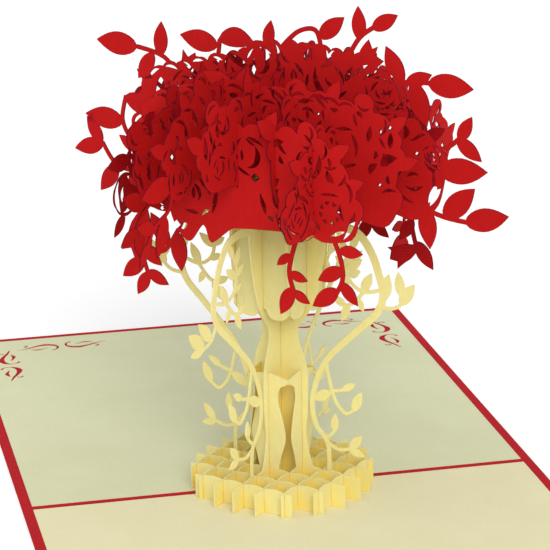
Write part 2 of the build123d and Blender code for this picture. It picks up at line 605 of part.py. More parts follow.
def stand(outline, offset, first):
    """Thicken an outline and stand it up on the lattice, then turn the lattice to the card."""
    if first:
        plane = Plane(origin=(0, -offset, 0), x_dir=(1, 0, 0), z_dir=(0, -1, 0))
    else:
        plane = Plane(origin=(offset, 0, 0), x_dir=(0, -1, 0), z_dir=(-1, 0, 0))
    solid = extrude(plane * outline, SHEET / 2, both=True)
    return Rot(0, 0, LATTICE_ANGLE) * solid


def scroll(center, angle):
    """Cut-out of one S scroll with hooked ends, widest in the middle."""
    radius = SCROLL / 4
    line = []
    for k in range(5):
        turn = math.radians(SCROLL_SWEEP * k / 4)
        line.append((radius * (1 - math.cos(turn)), -radius * math.sin(turn)))
    half = stem(line, 1.6, 0.5)
    return Pos(*center) * Rot(0, 0, angle) * union([half, half.rotate(Axis.Z, 180)])


def cover():
    """Folded red cover, open flat."""
    return extrude(Rectangle(CARD, 2 * CARD), COVER)


def insert(back):
    """Cream insert of one half, the back one with scrolls cut at its two far corners."""
    width = CARD - 2 * BORDER
    depth = CARD - BORDER - FOLD_GAP / 2
    middle = FOLD_GAP / 2 + depth / 2
    sheet = Pos(0, middle) * Rectangle(width, depth)
    if not back:
        sheet = Pos(0, -middle) * Rectangle(width, depth)
        return Pos(0, 0, COVER) * extrude(sheet, INSERT)
    edge_x = width / 2 - SCROLL_INSET
    edge_y = CARD - BORDER - SCROLL_INSET
    for side in (-1, 1):
        for step in (SCROLL * 1.2, SCROLL * 2.2):
            sheet -= scroll((side * (edge_x - step), edge_y), 8 * side)
            sheet -= scroll((side * edge_x, edge_y - step + SCROLL * 0.4), 90 + 8 * side)
    return Pos(0, 0, COVER) * extrude(sheet, INSERT)


def write(name, shape):
    """Write one named piece in the millimetre frame."""
    shape.label = name
    export_step(shape, f"parts/{name}.step")


def main():
    os.makedirs("parts", exist_ok=True)
    write("card_cover", cover())
    write("insert_back", insert(True))
    write("insert_front", insert(False))
    cream_first, cream_second = cream_slices()
    red_first, red_second, gaps = red_slices()
    first = {**cream_first, **red_first}
    second = {**cream_second, **red_second}
    slots = half_laps(first, second)
    for family, is_first in ((first, True), (second, False)):
        for name, (offset, outline) in family.items():
            cut = outline.cut(*slots[name], *gaps.get(name, []))
            write(name, stand(cut, offset, is_first))


main()
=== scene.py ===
"""Pop-up card with a rose tree: smooth laser-cut paper slices, paper materials, floor, light, camera."""

import math
import random

import bmesh
import bpy
from mathutils import Matrix, Vector
from mathutils.geometry import delaunay_2d_cdt


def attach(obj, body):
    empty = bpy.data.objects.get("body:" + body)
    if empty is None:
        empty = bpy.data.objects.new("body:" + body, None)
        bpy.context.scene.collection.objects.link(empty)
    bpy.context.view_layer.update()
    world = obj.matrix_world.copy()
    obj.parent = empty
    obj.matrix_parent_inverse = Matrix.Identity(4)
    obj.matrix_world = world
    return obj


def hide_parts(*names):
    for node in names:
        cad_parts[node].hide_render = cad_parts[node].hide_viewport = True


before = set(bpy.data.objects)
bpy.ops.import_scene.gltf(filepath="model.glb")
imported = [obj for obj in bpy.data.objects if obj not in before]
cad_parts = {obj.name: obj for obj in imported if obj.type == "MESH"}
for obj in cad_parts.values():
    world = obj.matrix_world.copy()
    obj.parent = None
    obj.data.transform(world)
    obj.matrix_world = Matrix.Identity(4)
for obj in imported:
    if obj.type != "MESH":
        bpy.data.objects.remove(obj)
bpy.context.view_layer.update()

MM = 0.001
HALF_ROOT = math.sqrt(0.5)

# Sizes of the card and its lattice in millimetres, most of them as in the CAD source.
SHEET = 0.3
PLAY = 0.05
GROUND = 0.6
INSERT = 0.2
BASE_STRIPS = 7
BASE_RADIUS = 26.0
BASE_PITCH = BASE_RADIUS * 0.2615
BASE_LOW = 6.2
BASE_HIGH = 8.2
TRUNK_TOP = 82.0
TONGUE_TOP = 97.0
TONGUE_HALF = 14.0
PETAL_TOP = 36.5
CROWN_OFFSET = 8.8
CROWN_BOTTOM = 53.5
RED_PITCH = 11.6
STEM = 1.3
VINE = 2.7
VINE_END = 1.2
VINE_SHOOT = 1.0
SLOT_REACH = 0.6
ARCH = TRUNK_TOP + 4.0

# Top edge of a base strip: its height where slices cross, and points between as (share of the cell, drop
# below BASE_HIGH).
SCALLOP_LOW = 7.4
SCALLOP = ((0.15, 0.45), (0.5, 0.15), (0.85, 0.45))

# Form of a leaf: where its belly lies, and how full it is toward its root and its tip.
LEAF_BELLY, LEAF_ROOT, LEAF_TIP = 0.87, 0.84, 1.05

# Width of the rim along a cut, scorched by the laser on red paper and painted shade on cream paper, and the area
# below which a hole is left out.
RIM = 0.14
SPECK = 0.004

# Camera fitted to the card's corners in the photograph: focal length in pixels of the square frame.
FRAME_PIXELS = 550
FOCAL_PIXELS = 2492.05
YAW, PITCH, ROLL = 0.217459, 0.302444, -0.014493
CAMERA_AT = (-144.6617, -648.8929, 270.7050)


def smooth(points, closed=False, step=0.6):
    """Smooth line through points, with its own points about a step apart."""
    count = len(points)
    line = []
    for k in range(count if closed else count - 1):
        here, there = points[k], points[(k + 1) % count]
        before = points[k - 1] if closed or k else here
        after = points[(k + 2) % count] if closed or k + 2 < count else there
        gap = math.sqrt(math.dist(here, there))
        gap_in = math.sqrt(math.dist(before, here)) or gap
        gap_out = math.sqrt(math.dist(there, after)) or gap
        start, end = [], []
        for i in (0, 1):
            chord = there[i] - here[i]
            step_in = (here[i] - before[i]) / gap_in - (there[i] - before[i]) / (gap_in + gap)
            start.append(gap * (step_in + chord / gap))
            step_out = chord / gap - (after[i] - here[i]) / (gap + gap_out)
            end.append(gap * (step_out + (after[i] - there[i]) / gap_out))
        steps = max(2, round(math.dist(here, there) / step))
        for j in range(steps):
            t = j / steps
            h1, h2 = (1 + 2 * t) * (1 - t) ** 2, t * (1 - t) ** 2
            h3, h4 = t * t * (3 - 2 * t), t * t * (t - 1)
            line.append(tuple(h1 * here[i] + h2 * start[i] + h3 * there[i] + h4 * end[i] for i in (0, 1)))
    if not closed:
        line.append(points[-1])
    return line


def leaf(tip, root, width, bend=0.0, steps=10):
    """Leaf round a bent midrib, full at its root and drawn out to a point at its tip."""
    du, dz = tip[0] - root[0], tip[1] - root[1]
    length = math.hypot(du, dz)
    side = (-dz / length, du / length)
    right, left = [], []
    for k in range(1, steps):
        t = k / steps
        share = t**LEAF_BELLY
        half = width / 2 * (4 * share * (1 - share)) ** (LEAF_ROOT if share < 0.5 else LEAF_TIP)
        arch = bend * length * 4 * t * (1 - t)
        u, z = root[0] + du * t + side[0] * arch, root[1] + dz * t + side[1] * arch
        right.append((u + side[0] * half, z + side[1] * half))
        left.append((u - side[0] * half, z - side[1] * half))
    return [root] + right + [tip] + left[::-1]


def band(line, halves, piece):
    """Band of changing half width along a line, in short pieces that share their ends."""
    last = len(line) - 1
    left, right = [], []
    for index, (u, z) in enumerate(line):
        before, after = line[max(index - 1, 0)], line[min(index + 1, last)]
        length = math.dist(after, before)
        nu, nz = -(after[1] - before[1]) / length * halves[index], (after[0] - before[0]) / length * halves[index]
        left.append((u + nu, z + nz))
        right.append((u - nu, z - nz))
    return [left[k : k + piece + 1] + right[k : k + piece + 1][::-1] for k in range(0, last, piece)]


def stem(points, width, end_width=None):
    """Tapering band along a smooth line."""
    line = smooth(points, step=0.8)
    taper = 0 if end_width is None else (end_width - width) / (len(line) - 1)
    return band(line, [(width + taper * index) / 2 for index in range(len(line))], 3)


def brush(rows, step=0.4):
    """Stroke through (x, y, width) rows."""
    halves = []
    for one, two in zip(rows, rows[1:]):
        steps = max(2, round(math.dist(one[:2], two[:2]) / step))
        halves += [(one[2] + (two[2] - one[2]) * k / steps) / 2 for k in range(steps)]
    return band(smooth([row[:2] for row in rows], step=step), halves + [rows[-1][2] / 2], 2)


def polar(center, reach, angle):
    """Point at a distance and an angle from a centre."""
    return center[0] + reach * math.cos(angle), center[1] + reach * math.sin(angle)


def disc(center, radius, lobes, turn=0, depth=0.07, sides=32):
    """Round outline with lobes."""
    ring = []
    for k in range(sides):
        angle = 2 * math.pi * k / sides
        lobe = abs(math.sin(lobes / 2 * (angle - math.radians(turn)))) ** 0.7
        ring.append(polar(center, radius * (1 - depth + depth * lobe), angle))
    return ring


def crescent(center, radius, start, sweep, width, pull=0.0):
    """Curved gap between two petals, pointed at both ends; pull draws its inner side off centre."""
    steps = max(5, round(abs(sweep) / 12))
    outer, inner = [], []
    for k in range(steps + 1):
        angle = math.radians(start + sweep * k / steps)
        outer.append(polar(center, radius, angle))
        if 0 < k < steps:
            t = k / steps
            short = radius - width * math.sin(math.pi * t) ** 0.8 * (1 + pull * (2 * t - 1))
            inner.append(polar(center, short, angle))
    return outer + inner[::-1]


# Petal gaps of each kind of rose, as (share of its radius, start, sweep, width share) of crescents.
ROSE_KINDS = {
    "ring": [
        (0.44, 255, 165, 0.22), (0.4, 148, 64, 0.13), (0.7, 36, 62, 0.12), (0.98, 334, 52, 0.15),
        (0.72, 120, 50, 0.1), (0.72, 200, 70, 0.1),
    ],
    "oval": [
        (0.66, 0, 75, 0.2), (0.94, 318, 54, 0.16), (0.55, 140, 70, 0.15), (0.72, 240, 45, 0.13),
        (0.8, 290, 30, 0.12), (0.9, 150, 60, 0.12), (0.3, 300, 150, 0.14),
    ],
    "half": [
        (0.4, 115, 130, 0.25), (0.9, 172, 50, 0.17), (0.9, 228, 16, 0.12), (0.74, 250, 24, 0.13),
        (0.74, 100, 30, 0.2), (0.4, 300, 80, 0.14), (0.68, 340, 70, 0.12),
    ],
    "spiral": [
        (0.95, 20, 70, 0.16), (0.95, 285, 80, 0.14), (0.95, 180, 60, 0.1), (0.72, 100, 70, 0.12),
        (0.7, 340, 80, 0.12), (0.7, 200, 80, 0.1), (0.48, 40, 80, 0.12), (0.48, 170, 70, 0.1),
        (0.46, 280, 60, 0.1), (0.25, 90, 120, 0.12), (0.22, 250, 110, 0.1),
    ],
    "dots": [(0.42, 45 * k, 28, 0.13) for k in range(8)] + [
        (0.8, 205, 35, 0.13), (0.86, 270, 45, 0.14), (1.05, 300, 70, 0.22), (0.72, 60, 60, 0.1),
    ],
    "moon": [
        (0.86, 130, 110, 0.26), (0.52, 320, 100, 0.13), (0.66, 62, 58, 0.12), (0.32, 150, 120, 0.14),
        (0.74, 260, 50, 0.12),
    ],
    "loops": [
        (0.9, 120, 120, 0.34), (0.84, 250, 90, 0.3), (0.8, 5, 80, 0.28), (0.46, 110, 120, 0.26),
        (0.42, 260, 100, 0.22),
    ],
    "large": [
        (0.95, 20, 42, 0.2), (0.92, 305, 44, 0.22), (0.9, 150, 60, 0.07), (0.72, 200, 70, 0.08),
        (0.5, 90, 90, 0.09), (0.36, 220, 110, 0.1), (0.2, 30, 140, 0.1), (0.72, 330, 60, 0.09),
    ],
}


def rose_cuts(center, radius, kind, turn=0.0):
    """Curved gaps that draw the petals of one kind of rose."""
    cuts = [
        crescent(center, radius * share, start + turn, sweep, radius * width, pull=0.3)
        for share, start, sweep, width in ROSE_KINDS[kind]
    ]
    if kind == "oval":
        u, z = center
        cuts.append(leaf((u, z + radius * 0.2), (u, z - radius * 0.2), radius * 0.15))
    return cuts


def bud(tip, root):
    """Hanging bud: a body that swells from its root and ends in three pointed sepals."""
    du, dz = tip[0] - root[0], tip[1] - root[1]
    body = smooth([(0.0, 0.06), (0.35, 0.22), (0.62, 0.26), (0.90, 0.33)], step=0.1) + [(0.80, 0.14)]
    right = [(root[0] + du * t - dz * s, root[1] + dz * t + du * s) for t, s in body]
    left = [(root[0] + du * t + dz * s, root[1] + dz * t - du * s) for t, s in body]
    return right + [tip] + left[::-1]


def flip(points):
    """Mirror image of an outline about the middle of its slice."""
    return [(-u, z) for u, z in points]


def ends(row):
    """Tip and root of a (tip u, tip z, root u, root z, ...) row."""
    return row[:2], row[2:4]


def leaves(rows, share=0.47):
    """Leaves from rows of their ends and a bend, their width a share of their length."""
    return [leaf(*ends(row), share * math.dist(*ends(row)), *row[4:]) for row in rows]


def base_strip(offset):
    """Low strip of the round base with a scalloped top edge."""
    half = math.sqrt(BASE_RADIUS**2 - offset**2)
    cells = min(int(half / BASE_PITCH), BASE_STRIPS // 2)
    top = [(half, SCALLOP_LOW)]
    for cell in range(cells, -cells - 1, -1):
        top.append((cell * BASE_PITCH, SCALLOP_LOW))
        if cell > -cells:
            top += [((cell - share) * BASE_PITCH, BASE_HIGH - drop) for share, drop in SCALLOP]
    top.append((-half, SCALLOP_LOW))
    return [(-half, GROUND), (half, GROUND)] + top


TRUNK_SIDE = [
    (12.4, GROUND), (10.4, 8.0), (9.0, 12.5), (8.2, 17.5), (8.8, 24.0), (9.0, 33.0), (8.6, 38.0), (7.2, 42.0),
    (6.0, 45.5), (6.0, 49.0), (8.6, 52.5), (11.2, 57.0), (13.2, 64.0), (14.8, 72.0), (15.8, TRUNK_TOP),
]


def trunk():
    """Main trunk profile: flared foot, swelling, neck, flared crown and hidden tongue."""
    half = smooth(TRUNK_SIDE) + [(TONGUE_HALF, TRUNK_TOP + 1.0), (TONGUE_HALF, TONGUE_TOP)]
    return half + flip(half)[::-1]


def petal():
    """Foot petal of the trunk: narrow at the base lattice, hourglass sides, pointed shoulders."""
    side = [(2.6, BASE_LOW - 1.0), (4.0, 11.5), (5.6, 17.6), (4.6, 23.5), (3.2, 29.0), (4.0, 32.4), (7.3, 34.2)]
    half = smooth(side) + [(7.3, 35.2), (0.6, PETAL_TOP)]
    return half + flip(half)[::-1]


def crown():
    """Flared panel of the trunk crown with a lobed lower edge."""
    half = smooth([(0.9, CROWN_BOTTOM + 2.4), (2.6, CROWN_BOTTOM), (6.6, CROWN_BOTTOM), (9.5, CROWN_BOTTOM + 2.4)])
    half += [(9.9, 64.0), (10.6, 74.0), (10.6, TRUNK_TOP - 1.0)]
    return half + flip(half)[::-1]


# Branch on the +u side: a bow from the trunk top out and back to the foot, with its side shoots.
VINE_LINE = [
    (13, 79.5), (20, 80.3), (25.5, 79), (29.5, 74.5), (32, 68.5), (33.4, 62.5), (31.6, 57.4), (26, 51.8),
    (20, 46), (15.4, 41), (12.2, 35), (10.4, 27), (11.6, 20.8), (15.2, 16.4), (15.8, 7),
]
VINE_SHOOTS = [
    [(15, 39.5), (16, 35.5), (17, 32.2), (20.6, 32.9)],
    [(16.2, 34.2), (18.3, 28.6), (21.4, 26), (24, 27.6)],
    [(12.6, 18.9), (15.4, 18), (17.8, 20.4)],
    [(14.8, 16.6), (18.8, 14.8), (23, 15.8)],
]
VINE_LEAVES = [
    (24.6, 35.4, 20.2, 32.7), (26.4, 33.3, 23.7, 27), (10.4, 28.2, 16.8, 31.6), (17.8, 25.4, 17.6, 19.8),
    (26.6, 20.4, 22.6, 15.6), (27.4, 14.2, 22.2, 15.6),
]
LOW_SPRAY = [[(31.8, 58.4), (34.8, 54), (39, 52.6)]]
LOW_SPRAY_LEAVES = [(44.6, 52.2, 38.6, 52.6), (45.4, 58.6, 38.2, 52.9), (40.6, 60.4, 34.8, 54.2)]
HIGH_SPRAY = [[(33, 59), (36.8, 59.4), (39, 61), (39.1, 63.6)]]
HIGH_SPRAY_LEAVES = [(38.1, 70, 39.1, 63), (43.2, 67.2, 38.6, 60.6), (35.2, 69, 33.4, 61)]
INNER_SPRAY = [
    [(32.8, 64), (27, 62.6), (23, 65), (21.6, 70.6), (23.4, 75)],
    [(27.4, 62.8), (23.6, 58.6), (20.6, 57.6)],
]
INNER_SPRAY_LEAVES = [
    (25.6, 79, 23.2, 74.2), (20, 76.8, 22.2, 71.8), (18.2, 71.6, 22, 68.8), (26.8, 71.8, 21.9, 68.2),
    (19.2, 66.4, 23.4, 64.4), (29.8, 68.4, 26.8, 62.4), (17.2, 60, 21.6, 57.6), (20.2, 53, 22.4, 58.2),
    (27.2, 56.8, 25.2, 60.8),
]


def vine(high):
    """Outlines of one branch; its outer spray stands high or low."""
    parts = stem(VINE_LINE, VINE, VINE_END)
    spray, spray_leaves = (HIGH_SPRAY, HIGH_SPRAY_LEAVES) if high else (LOW_SPRAY, LOW_SPRAY_LEAVES)
    for points in VINE_SHOOTS + spray + INNER_SPRAY:
        parts += stem(points, VINE_SHOOT)
    return parts + leaves(VINE_LEAVES + spray_leaves + INNER_SPRAY_LEAVES, 0.44)


# Canopy slices. Each has a lobed panel, roses as (u, z, radius, kind, turn if any), stems as bent lines,
# and plain areas as (u, z, radius) that stay whole. The rows of leaves, buds and leaf-shaped cuts start
# with the tip and the root; a leaf may end with a bend, and a cut ends with its width as a share of its
# length.
FRONT_OUTER = {
    "panel": [
        (-15.8, 85.7), (-16.9, 91.1), (-16.1, 96.8), (-12.6, 102.6), (-7.3, 107.6), (-1.5, 110.6), (8.7, 112.5),
        (19.2, 112.5), (29.6, 111.8), (35.4, 108.5), (38.5, 103.2), (40.3, 98.7), (42.3, 94.1), (42.6, 90.4),
        (40.8, 86.9), (36.6, 85.5), (31.7, 85.1), (28.4, 86.2), (18.5, ARCH), (7.8, 85.2), (3.6, 84.5),
        (0.4, 82.1), (-3.2, 79.8), (-5.4, 84.4), (-10.1, 79.2), (-13.3, 81.2),
    ],
    "roses": [
        (-8.4, 93.1, 8.2, "oval"), (9.8, 105.4, 7.4, "ring"), (19.8, 94.8, 7.8, "half"),
        (34.2, 93.3, 7.4, "dots"), (24, 90, 6.4, "spiral"), (27, 106, 5.6, "moon", 150),
    ],
    "stems": [
        [(25.1, 88.1), (22.3, 79.7), (21.5, 74.8), (23.2, 69.2)],
        [(34.4, 88.1), (37.6, 80.2), (37.8, 75.3), (36, 71.6)],
    ],
    "leaves": [
        (17.7, 76.7, 21.9, 80.2), (27.2, 73.5, 21.4, 75.1), (18.7, 63.1, 22.4, 71.2), (27.8, 67.4, 22.5, 70.2),
        (44.1, 83.4, 36.8, 83.6), (30.4, 74.4, 38, 78.6), (42.5, 69.2, 37.3, 74.9), (28.7, 67, 36.6, 72.7),
        (-25.7, 89, -15.8, 92.3), (-17.6, 108, -12, 101.6), (-10.6, 114.4, -5.6, 107.6),
        (-1.6, 116.6, 3.6, 109.6), (18.4, 118.4, 13.6, 110.6), (30.4, 117, 24.6, 110.4),
        (40.4, 112, 33.6, 107.8), (44.6, 103, 37.4, 100),
    ],
    "plain": [(4, 92, 9), (10, 90, 6), (-4, 83, 4)],
}
FRONT_MIDDLE = {
    "panel": [
        (-13.3, 87.8), (-20.2, 83.9), (-28.2, 82.5), (-34, 85.8), (-36, 95.8), (-35, 106), (-28.2, 113.6),
        (-8.4, 119.4), (8, 120.2), (24, 120.2), (38, 118.2), (45.6, 114.6), (48.2, 107), (47.3, 98.4),
        (47.6, 92.8), (46.1, 89.6), (43.9, 87.8), (34.3, 88.8), (20.3, 87.8),
    ],
    "roses": [
        (-27.6, 99.4, 7.2, "ring", 40), (-21, 109.6, 6.8, "half"), (8.1, 114.7, 7, "spiral"),
        (20.6, 115.6, 6.4, "oval", 60), (31.9, 108.3, 7.8, "moon"),
    ],
    "stems": [
        [(-32.2, 85.8), (-34.9, 73), (-32.5, 63.1)],
        [(-34.6, 72.5), (-27.7, 70.6), (-22.3, 77.1), (-18.4, 85.2)],
    ],
    "leaves": [
        (-41.3, 61.3, -33.7, 67.6), (-36.3, 56.7, -32.4, 63.9), (-25.6, 61.1, -32.9, 64.2),
        (-21.1, 65.8, -22.4, 77.3), (-31.1, 81.4, -25.2, 72.4), (-27.7, 66.4, -34.7, 71.4),
        (-30.3, 110.1, -19.5, 115.6), (-12.4, 123.5, -2, 119.4), (2.4, 126.4, -1.8, 118.2),
        (14, 125.1, 20.4, 117.3), (30.6, 125.6, 26.4, 118.4), (40.6, 123.4, 35, 117), (50.6, 118.4, 44.4, 113.4),
        (54, 107.4, 46.6, 104.4), (-41, 102.4, -34.6, 98.4),
    ],
    "buds": [(-36.6, 66.4, -33, 82.4)],
    "cuts": [(45.8, 113.6, 45.6, 109.4, 0.4), (39.8, 114.6, 39, 110.4, 0.35)],
    "plain": [(40, 94, 6.5)],
}
FRONT_INNER = {
    "panel": [
        (-16.8, 86.6), (-21.8, 79.6), (-28.8, 76.6), (-35.7, 80.6), (-43.7, 78), (-45, 84.6), (-43.2, 94.6),
        (-41.7, 99.5), (-41.2, 110.5), (-38.7, 116.5), (-26.8, 121.4), (-15, 124.2), (-8.4, 125.4), (-1.6, 129),
        (9.1, 130.2), (20, 130), (28.1, 128.2), (37, 124.5), (41.6, 120.7), (42.5, 115.9), (47.5, 112),
        (53.9, 105.2), (55.4, 101), (54.9, 96.7), (53.4, 92.1), (50.4, 89), (45.6, 87.2), (39, 88.2), (29.1, 86),
        (19.1, 86.6),
    ],
    "roses": [
        (-26.1, 115.7, 6, "spiral"), (-1.3, 124.6, 6.4, "ring"), (21.3, 122.6, 7, "moon", 20),
        (36.1, 120.6, 6.4, "spiral", 60), (46, 98.6, 9.2, "large"), (-13.8, 119.5, 6.6, "half"),
        (8.6, 122.4, 5.6, "oval"), (51.2, 105.4, 3.6, "moon", 200),
    ],
    "stems": [
        [(-26.7, 116.5), (-33.2, 123), (-42.3, 125.1)],
        [(-39.7, 94.6), (-45.7, 98.6), (-48.1, 103.5), (-46.7, 110.5)],
        [(-40.7, 88.6), (-50.7, 90.1), (-55.5, 96)],
        [(-14.6, 129.8), (-15, 126.4), (-16.2, 121.4)],
        [(4.1, 128.5), (11.1, 134.8), (16.1, 135.4), (18.3, 127.5)],
        [(24.6, 126.5), (29.7, 134.8), (34, 138)],
        [(37, 119.5), (43, 124.1), (51, 124.9)],
        [(49, 106.5), (56, 108.3), (59.8, 111.3)],
        [(45, 92.1), (55, 89.4), (62.4, 88.8)],
    ],
    "leaves": [
        (-56.2, 125.8, -42.1, 125), (-33.9, 133, -34.5, 123.1), (-42.2, 116, -36.7, 123.9),
        (-61.1, 103.8, -47.7, 102.9), (-35.7, 106.5, -47.1, 110.5), (-65.3, 93, -55.1, 95.6),
        (-60.6, 103, -55.5, 95.6), (-56.6, 81.6, -50.3, 90), (-51.2, 71.7, -44.7, 78.1), (-27.7, 130, -15, 128),
        (-3, 129.6, -15, 130, 0.1), (2.1, 136.8, 0.6, 129), (25, 139.8, 17.1, 133.4), (29.2, 143.2, 29.7, 134),
        (41.2, 141.9, 33.4, 137.5), (37.6, 133.4, 42.6, 123.3), (51.4, 127.2, 43.5, 123.9),
        (63.7, 124.6, 50, 124.8), (50, 113.1, 45.6, 124.9), (63.2, 117.4, 59.4, 110.3),
        (66.2, 105.7, 58.8, 111.1), (68, 103.1, 53, 101.8), (64.3, 98.3, 55, 89), (74.3, 92.1, 61.3, 88.6),
        (51.1, 79.9, 49.6, 91.6), (32.4, 134.6, 30.8, 125),
    ],
    "buds": [(37, 129.2, 25, 127.4), (-22.8, 125.4, -27.4, 114.6)],
    "cuts": [
        (0.9, 128.4, 0.6, 124.8, 0.45), (13.7, 130.2, 13, 126.8, 0.5), (20.6, 129.6, 20, 126.6, 0.5),
        (27.6, 126.8, 25.2, 122.6, 0.35), (-12.6, 126.6, -5.6, 123, 0.3), (-6, 119.4, -3.6, 124.6, 0.3),
        (50.4, 92.4, 53, 97.6, 0.3), (31, 112.6, 31.4, 106.6, 0.34),
    ],
}
BACK_INNER = {
    "panel": [
        (-19.2, 85.4), (-27.2, 84), (-34.2, 83.2), (-40.8, 83.4), (-44.3, 88.4), (-46.3, 91.4), (-47.3, 97.4),
        (-45.3, 105.5), (-40.3, 111.6), (-29.2, 117.4), (-11.2, 119.8), (6.9, 120.4), (18.9, 119.4), (33, 115.4),
        (40.6, 108.4), (43.6, 101), (42.4, 93), (38.6, 86.8), (31, 84.4), (22.9, 84.4), (16.9, 85.4),
    ],
    "roses": [
        (-39.6, 98.9, 7, "ring", 90), (-28, 110, 7.4, "half", 30), (-7.2, 113.5, 7, "oval", 30),
        (18.9, 111.5, 7.4, "moon", 40), (38, 102, 7.2, "spiral", 10),
    ],
    "stems": [
        [(38.8, 89.8), (39, 82), (40.6, 75.3)],
        [(-39.3, 108.5), (-45.3, 112.5), (-48.3, 110.5)],
    ],
    "leaves": [
        (45.7, 70.2, 40.3, 77.6), (35.2, 77.2, 39.6, 83.6), (-51, 115.5, -45.3, 112.5),
        (-52.6, 106.6, -47.9, 110.7), (-53, 94, -46, 96.4), (47, 99.6, 42, 96.5), (45.6, 109, 40, 104.6),
        (-18.6, 125.4, -16.6, 117.6), (28.4, 123.4, 26, 116),
    ],
    "buds": [(32.2, 71.2, 40.9, 76)],
}
BACK_MIDDLE = {
    "panel": [
        (-20.5, 84.3), (-25.6, 83.3), (-35.7, 86.3), (-43.8, 88.3), (-47, 92.3), (-46.4, 101), (-40.7, 107),
        (-27.6, 112.6), (-3.4, 115), (16.8, 113.6), (30, 107), (35.1, 100), (35.4, 92.3), (31, 86.4),
        (23.9, 84.8), (13.8, 85.3),
    ],
    "roses": [
        (-39.7, 97.4, 6.6, "spiral"), (-25, 104.6, 7.4, "moon"), (-10, 107.6, 7, "ring"),
        (6.7, 107.5, 7, "oval", 80), (23, 102.6, 7.2, "half", 50),
    ],
    "stems": [[(-36.7, 105.5), (-41.8, 111), (-45.8, 112.2)]],
    "leaves": [
        (-50.4, 112.2, -45.2, 112.2), (-43.4, 116.6, -42, 111), (-51.6, 89.6, -46, 93.4), (39.6, 101, 34, 97.4),
        (-33.4, 119, -29.4, 110.6), (-17.4, 121.4, -15.4, 112.6), (-2.4, 122.4, -2.6, 113.4),
        (12.6, 121.4, 11, 112.6), (27.4, 117, 23.8, 109.4), (36.6, 110.4, 31, 104.4), (39.6, 90, 34, 92),
    ],
}
BACK_OUTER = {
    "panel": [
        (-36, 96), (-35, 90), (-29, 85.6), (-20, 82.4), (-12, 85.8), (0, 85.4), (12, 85.8), (20, 82.4),
        (26, 85.6), (29.6, 90), (30.8, 97), (28, 103.6), (20, 108.6), (0, 111.6), (-22, 109), (-33, 103.5),
    ],
    "roses": [
        (-26, 96.4, 7.4, "large"), (-8, 99, 7.4, "half"), (9.6, 98.4, 7.4, "ring"), (23, 95, 6.2, "oval"),
    ],
    "stems": [[(-24, 87), (-27, 79), (-25.6, 72)], [(14, 88), (11, 80), (12.6, 73.4)]],
    "leaves": [
        (-45, 104, -33.5, 99), (-44, 88, -33, 92), (36.5, 103.4, 29.6, 99.4), (35.6, 86.6, 29, 90.4),
        (-28.6, 114.6, -23.6, 107), (-14, 117.6, -12.4, 109), (0.6, 118.6, 0.4, 110), (15.2, 117.6, 12.6, 109),
        (28.2, 112.6, 22.4, 106), (-33.2, 76.4, -27, 79.6), (-20.4, 78.6, -26.8, 76.4), (-29.6, 65.6, -25.8, 73),
        (-19.8, 68.4, -25.6, 72.4), (4.6, 77.6, 11.2, 80.2), (17.6, 78.4, 11.6, 76.6), (8.6, 67, 12.4, 74.2),
        (18.6, 69.4, 12.6, 73.6),
    ],
}
SIDE_FAR = {
    "panel": [
        (-27.6, 88), (-29.6, 96), (-28, 103), (-20, 108), (-8, 111.4), (6, 111.6), (20, 109), (31, 104),
        (37, 98), (38, 92), (32, 87.4), (22, 85.5), (8, 85), (-8, 85), (-20, 85.4),
    ],
    "roses": [
        (-31.4, 90.4, 6.2, "loops"), (-20, 99.4, 6.6, "half", 40), (-8, 99.6, 7.2, "spiral"),
        (9, 99, 7.4, "large"), (26, 96.6, 7.2, "ring"),
    ],
    "stems": [],
    "leaves": [
        (-39.6, 99.6, -29, 99.6), (-12, 117, -10.4, 109.4), (3, 118, 3, 110), (18, 116.6, 15, 108.8),
        (32, 111.6, 26.6, 105), (45.6, 101.6, 36.4, 97), (45.4, 87.4, 36.4, 90.8), (-37.6, 79.6, -32.6, 84.8),
    ],
}
SIDE_LEFT = {
    "panel": [
        (-28, 87.4), (-36, 89.4), (-41, 93.5), (-43, 100), (-40, 106.6), (-33, 111.6), (-20, 115.8), (-4, 118),
        (12, 117.6), (28, 114), (41, 107.6), (49, 99.6), (50, 92), (44, 86.4), (34, 84.6), (20, ARCH),
        (-20, ARCH),
    ],
    "roses": [
        (-35, 99.4, 7.4, "half"), (-17, 107.4, 7, "large", 90), (4, 110, 7.2, "oval"),
        (24, 105.4, 7.4, "spiral"), (40.6, 97, 7.4, "ring", 120),
    ],
    "stems": [[(-30.3, 93.4), (-40.5, 88.4), (-44.6, 83.8)]],
    "leaves": [
        (-49.1, 95, -38.9, 90.4), (-50.6, 81.8, -43.5, 84.9), (-41.5, 76.2, -42.9, 85.7),
        (-46.4, 114.4, -38.6, 106.4), (59.6, 100.6, 48.6, 96.5), (-26.6, 121.6, -23.4, 113.4),
        (-10.6, 124.4, -9.4, 116), (5.4, 125.4, 5, 116.6), (21, 123.4, 18, 115), (36.6, 117.6, 31.6, 111),
        (51.6, 110.4, 43.6, 104.4),
    ],
    "cuts": [(-35.8, 113, -35.6, 108.6, 0.4), (-38.4, 92.6, -33.6, 92, 0.4)],
}
